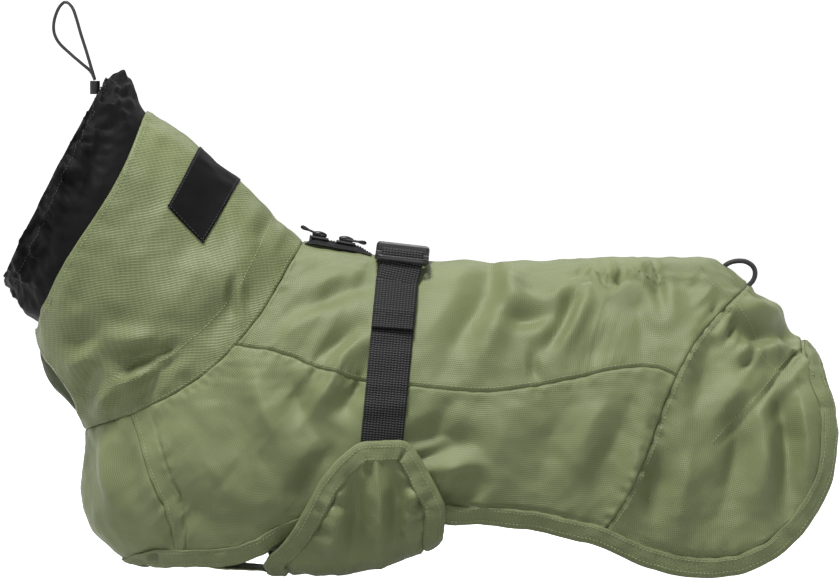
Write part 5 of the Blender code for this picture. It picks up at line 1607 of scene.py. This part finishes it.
@dataclass
class BackZip:
    """The short zip on the spine: its tapes, teeth, sliders and pulls."""

    front_x: float = -79.5
    rear_x: float = -40.5
    tooth_pitch: float = 1.6
    sliders: tuple = (("slider_cap_front", 6.1), ("slider_cap_rear", 22.3))
    domes: tuple = (("plate", 5.6, 4.1, 5.2, 1.25), ("ridge", 4.4, 1.55, 7.4, 2.1))
    pulls: tuple = (("front", -73.5, -1, 14.0), ("rear", -57.5, 1, 0.0))
    hinge_height: float = 7.3
    reach: float = 1.7
    pull_half: float = 2.5
    pull_length: float = 12.0
    pull_cord: float = 1.3
    pull_twist: float = 0.42
    twist_from: float = 5.8

    def frame(self) -> tuple[Array, float]:
        """The front end of the zip and its slope."""
        rows = read_rows(SECTIONS, np.linspace(0, 11, 200))
        front, rear = (float(np.interp(x, rows[:, 0], rows[:, 1])) for x in (self.front_x, self.rear_x))
        return np.array((self.front_x, 0.0, front)), math.atan2(rear - front, self.rear_x - self.front_x)

    def place(self, along: float, y: float, up: float) -> Array:
        """A point in the zip's own frame."""
        start, slope = self.frame()
        return start + np.array((along * math.cos(slope) - up * math.sin(slope), y,
                                 along * math.sin(slope) + up * math.cos(slope)))

    def rise(self, along: float, length: float) -> float:
        """The share of its full height at which the tape stands, which falls off towards both ends."""
        front, rear = ease(along + self.reach, 0.0, 6.0), ease(length - along, 0.0, 11.0)
        return float(0.34 + 0.66 * min(front, rear))

    def pull(self, end: str, x: float, way: int, lift: float) -> None:
        """A pull's loop of covered cord, twisted towards its tip."""
        slope = self.frame()[1]
        pivot = self.place((x - self.front_x) / math.cos(slope), 0.0, self.hinge_height)
        half, reach = self.pull_half, self.pull_length
        loop = [(0.0, 0.0), (0.0, half - 0.8), (1.2, half), (reach * 0.5, half * 1.05), (reach - 2.2, half * 0.9),
                (reach - 0.4, half * 0.4), (reach - 0.4, -half * 0.4), (reach - 2.2, -half * 0.9),
                (reach * 0.5, -half * 1.05), (1.2, -half), (0.0, 0.8 - half), (0.0, 0.0)]
        angle = math.radians(lift) + way * slope
        fine = evenly(np.array([(a, b, 0.0) for a, b in loop]), 0.6)[:-1]
        turn = self.pull_twist * ease(fine[:, 0], self.twist_from, reach)
        along, side, up = fine[:, 0], fine[:, 1] * np.cos(turn), -fine[:, 1] * np.sin(turn)
        route = pivot + np.stack((way * (along * math.cos(angle) - up * math.sin(angle)), side,
                                  along * math.sin(angle) + up * math.cos(angle)), -1)
        ahead = unit(np.roll(route, -1, 0) - np.roll(route, 1, 0))
        first = unit(np.cross(ahead, (0.31, 0.12, 0.94)))
        second = np.cross(ahead, first)
        around = [(math.cos(a), math.sin(a)) for a in np.linspace(0, TURN, 9)[:-1]]
        rings = np.stack([route + (first * c + second * s) * self.pull_cord / 2 for c, s in around], 1)
        dress(swept(f"pull_loop_{end}", rings, looped=True), Finishes.elastic, (f"zip_pull_{end}",), f"{end}_pull")

    def build(self) -> None:
        """Tapes and teeth, and the finishes of the hard pieces."""
        for entry in self.pulls:
            self.pull(*entry)
        length = (self.rear_x - self.front_x) / math.cos(self.frame()[1])
        profile = ((9.5, 1.25), (9.5, 1.9), (6.0, 3.0), (2.7, 4.2), (2.5, 4.9), (0.9, 4.9), (0.9, 3.4), (2.3, 3.3), (6.0, 2.3))
        for sign, side in ((-1, "left"), (1, "right")):
            rings = [[self.place(a, sign * y, z * self.rise(a, length)) for y, z in profile]
                     for a in np.linspace(-self.reach, length - 0.6, 32)]
            dress(swept(f"zip_tape_cloth_{side}", np.array(rings)), Finishes.tape, (f"zip_tape_{side}",))
        for node, finish in (("zip_slider_front", Finishes.metal), ("zip_slider_rear", Finishes.metal),
                             ("buckle_socket", Finishes.plastic), ("buckle_plug", Finishes.plastic),
                             ("cord_end", Finishes.lock)):
            node_finish(node, finish)
        for name, along in self.sliders:
            for part, reach, half, middle, rise in self.domes:
                rings = []
                for share in np.linspace(0, 1, 11):
                    swell = math.sin(math.pi * (0.04 + 0.92 * share)) ** 0.5
                    rings.append([self.place(along + reach * (2 * share - 1), half * swell * math.cos(a),
                                             middle + rise * swell * math.sin(a)) for a in np.linspace(0, TURN, 17)[:-1]])
                dress(swept(f"{name}_{part}", np.array(rings)), Finishes.metal)
        teeth = Sewing("zip_teeth", Finishes.metal, self.tooth_pitch, 1.0, 0.55)
        for y in (-1.1, 1.1):
            teeth.add(np.array([self.place(a, y, 4.95 * self.rise(a, length)) for a in np.linspace(1, length - 2, 60)]))
        teeth.make()


def node_finish(node: str, finish: Finish) -> None:
    """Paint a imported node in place."""
    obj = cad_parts[node]
    look = finish.look
    if isinstance(look, Thread):
        look = Thread(look.name + "_plain", look.colour)
    material = bpy.data.materials.get(look.name) or look.make()
    for entry in obj.material_slots:
        entry.material = material
    if not obj.material_slots:
        obj.data.materials.append(material)


NECK_CORD = (
    (-206.7, -1.5, 110.4), (-208.6, -2.6, 117.0), (-211.5, -3.2, 127.0), (-215.0, -3.0, 138.0),
    (-217.8, -2.0, 147.6), (-220.4, -0.6, 154.0), (-224.4, 0.6, 157.0), (-228.4, 1.6, 153.4),
    (-231.2, 2.2, 146.0), (-231.4, 2.6, 139.0), (-228.4, 2.8, 132.6), (-221.6, 2.8, 126.0),
    (-214.6, 2.6, 120.0), (-209.4, 2.2, 115.4), (-206.9, 1.5, 110.4),
)


@dataclass
class TailLoop:
    """The short loop of elastic that stands over the tail."""

    diameter: float = 3.0
    route: tuple = ((170.6, -1.2), (172.6, 0.2), (175.6, 1.4), (179.4, 1.9), (183.2, 1.5), (186.6, -0.3),
                    (188.7, -3.2), (189.0, -6.6), (187.8, -9.9), (185.4, -12.6), (183.6, -14.4))

    def build(self) -> None:
        """The loop."""
        middles = evenly(np.array([(x, 0.0, z) for x, z in self.route]), 0.9)
        way = unit(np.gradient(middles, axis=0))
        side = np.broadcast_to((0.0, 1.0, 0.0), way.shape)
        up = np.cross(side, way)
        around = [(math.cos(a), math.sin(a)) for a in np.linspace(0, TURN, 13)[:-1]]
        rings = np.stack([middles + (side * c + up * s) * self.diameter / 2 for c, s in around], 1)
        dress(swept("tail_loop_elastic", rings), Finishes.elastic, ("tail_loop",))


@dataclass
class NeckCord:
    """The drawcord's loop, which stands up from its lock as in the photograph."""

    diameter: float = 2.0

    def build(self) -> None:
        """The cord as a curve."""
        points = evenly(np.array(NECK_CORD), self.diameter)
        curve = bpy.data.curves.new("neck_drawcord", "CURVE")
        curve.dimensions = "3D"
        curve.bevel_depth = self.diameter / 2 * MM
        curve.bevel_resolution = 3
        curve.use_fill_caps = True
        spline = curve.splines.new("POLY")
        spline.points.add(len(points) - 1)
        for entry, place in zip(spline.points, points):
            entry.co = (*(place * MM), 1.0)
        obj = bpy.data.objects.new("neck_drawcord", curve)
        bpy.context.scene.collection.objects.link(obj)
        curve.materials.append(Thread("elastic_cord_plain", Finishes.elastic.look.colour).make())
        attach(obj, "coat")
        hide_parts("neck_cord")


# ---------------------------------------------------------------- studio
@dataclass
class Studio:
    """Camera at the photograph's angle, pale floor with a painted shadow under the coat, and soft lights."""

    target: tuple = (-12.3, 0.0, -15.6)
    distance: float = 3.0
    elevation: float = 2.0
    view_width: float = 0.5034
    floor_z: float = -0.205
    glow: float = 0.86
    room: float = 0.08
    # The floor's painted shadow under and in front of the coat: its grey, its centre, and where and how fast it fades
    # to pale.
    painted_shadow_grey: float = 0.32
    painted_shadow_centre: tuple = (0.0, -0.75, 0.0)
    pale_from: float = 0.66
    pale_rate: float = 2.0

    def camera(self) -> None:
        """The camera."""
        data = bpy.data.cameras.new("photo_camera")
        data.sensor_width = 36.0
        data.lens = 36.0 * self.distance / self.view_width
        data.clip_end = 30.0
        camera = bpy.data.objects.new("photo_camera", data)
        target = Vector(self.target) * MM
        rise = math.radians(self.elevation)
        camera.location = target + Vector((0, -math.cos(rise), math.sin(rise))) * self.distance
        camera.rotation_euler = (target - camera.location).to_track_quat("-Z", "Y").to_euler()
        bpy.context.scene.collection.objects.link(camera)
        bpy.context.scene.camera = camera

    def backdrop(self) -> None:
        """A pale floor that turns up into a wall behind, on every side, with a painted shadow under the coat."""
        rings, sides = [], 64
        for radius, height in ((0.0, 0.0), (0.6, 0.0), (2.5, 0.0), (6.5, 0.0), (7.8, 0.25), (8.6, 0.9), (9.0, 1.8)):
            rings.append([(math.cos(TURN * k / sides) * radius, math.sin(TURN * k / sides) * radius,
                           self.floor_z + height) for k in range(sides)])
        points = np.array(rings).reshape(-1, 3) / MM
        obj = new_mesh("pale_floor", points, grid_faces(len(rings), sides, closed=True, flip=True))
        weld(obj)
        tree = ShaderTree("pale_floor")
        place = tree.node("ShaderNodeTexCoord")
        reach = tree.node("ShaderNodeVectorMath", {"operation": "DISTANCE"},
                          {0: place.outputs["Object"], 1: self.painted_shadow_centre})
        # Painted shadow: round the shadow centre the floor is a darker grey without glow, fading out to the pale
        # glowing floor.
        share = ((Signal(tree, reach.outputs["Value"]) - self.pale_from) * self.pale_rate).clamp()
        tree.join(tree.shader.inputs["Emission Color"], tree.blend(share, (0.0, 0.0, 0.0), (1.0, 1.0, 1.0)))
        colour = tree.blend(share, (self.painted_shadow_grey,) * 3, (0.92, 0.92, 0.92))
        obj.data.materials.append(tree.finish(colour, 0.9, Emission_Strength=self.glow, Specular_IOR_Level=0.0))

    def lights(self) -> None:
        """A large soft key above the camera's left, a fill, a rim and a bright room."""
        for name, place, size, power in (("key", (-0.5, -0.9, 2.55), 0.8, 115.0), ("fill", (0.3, -3.0, 0.1), 0.9, 12.0),
                                         ("rim", (0.5, 1.8, 1.9), 1.4, 22.0)):
            data = bpy.data.lights.new(name, "AREA")
            data.shape = "SQUARE"
            data.size = size
            data.energy = power
            light = bpy.data.objects.new(name, data)
            light.location = place
            light.rotation_euler = (Vector((0, 0, 0)) - light.location).to_track_quat("-Z", "Y").to_euler()
            bpy.context.scene.collection.objects.link(light)
        world = bpy.data.worlds.new("pale_room")
        world.use_nodes = True
        world.node_tree.nodes["Background"].inputs[0].default_value = (1.0, 1.0, 1.0, 1.0)
        world.node_tree.nodes["Background"].inputs[1].default_value = self.room
        bpy.context.scene.world = world
        bpy.context.scene.view_settings.view_transform = "Standard"

    def build(self) -> None:
        """The whole studio."""
        self.camera()
        self.backdrop()
        self.lights()


def main() -> None:
    """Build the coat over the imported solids."""
    logging.basicConfig(level=logging.INFO, format="%(name)s: %(message)s")
    Studio().build()
    NeckCord().build()
    sewing = Sewing("olive_stitches", Finishes.olive_thread)
    dark = Sewing("black_stitches", Finishes.dark_thread, 2.2, 1.7, 0.22)
    shell = BodyShell()
    shell.build()
    shell.seams(sewing)
    Hems(shell).build(sewing)
    Collar().build(sewing, dark)
    Snood().build(dark)
    BellyFlap().build(sewing)
    straps = Straps()
    skin = skin_of(list(shell.panels.values()))
    straps.build("left", -39.0, skin, dark)
    straps.build("right", -28.0, skin, dark)
    BuckleBars().build()
    BackZip().build()
    TailLoop().build()
    sewing.make()
    dark.make()


if __name__ == "__main__":
    main()
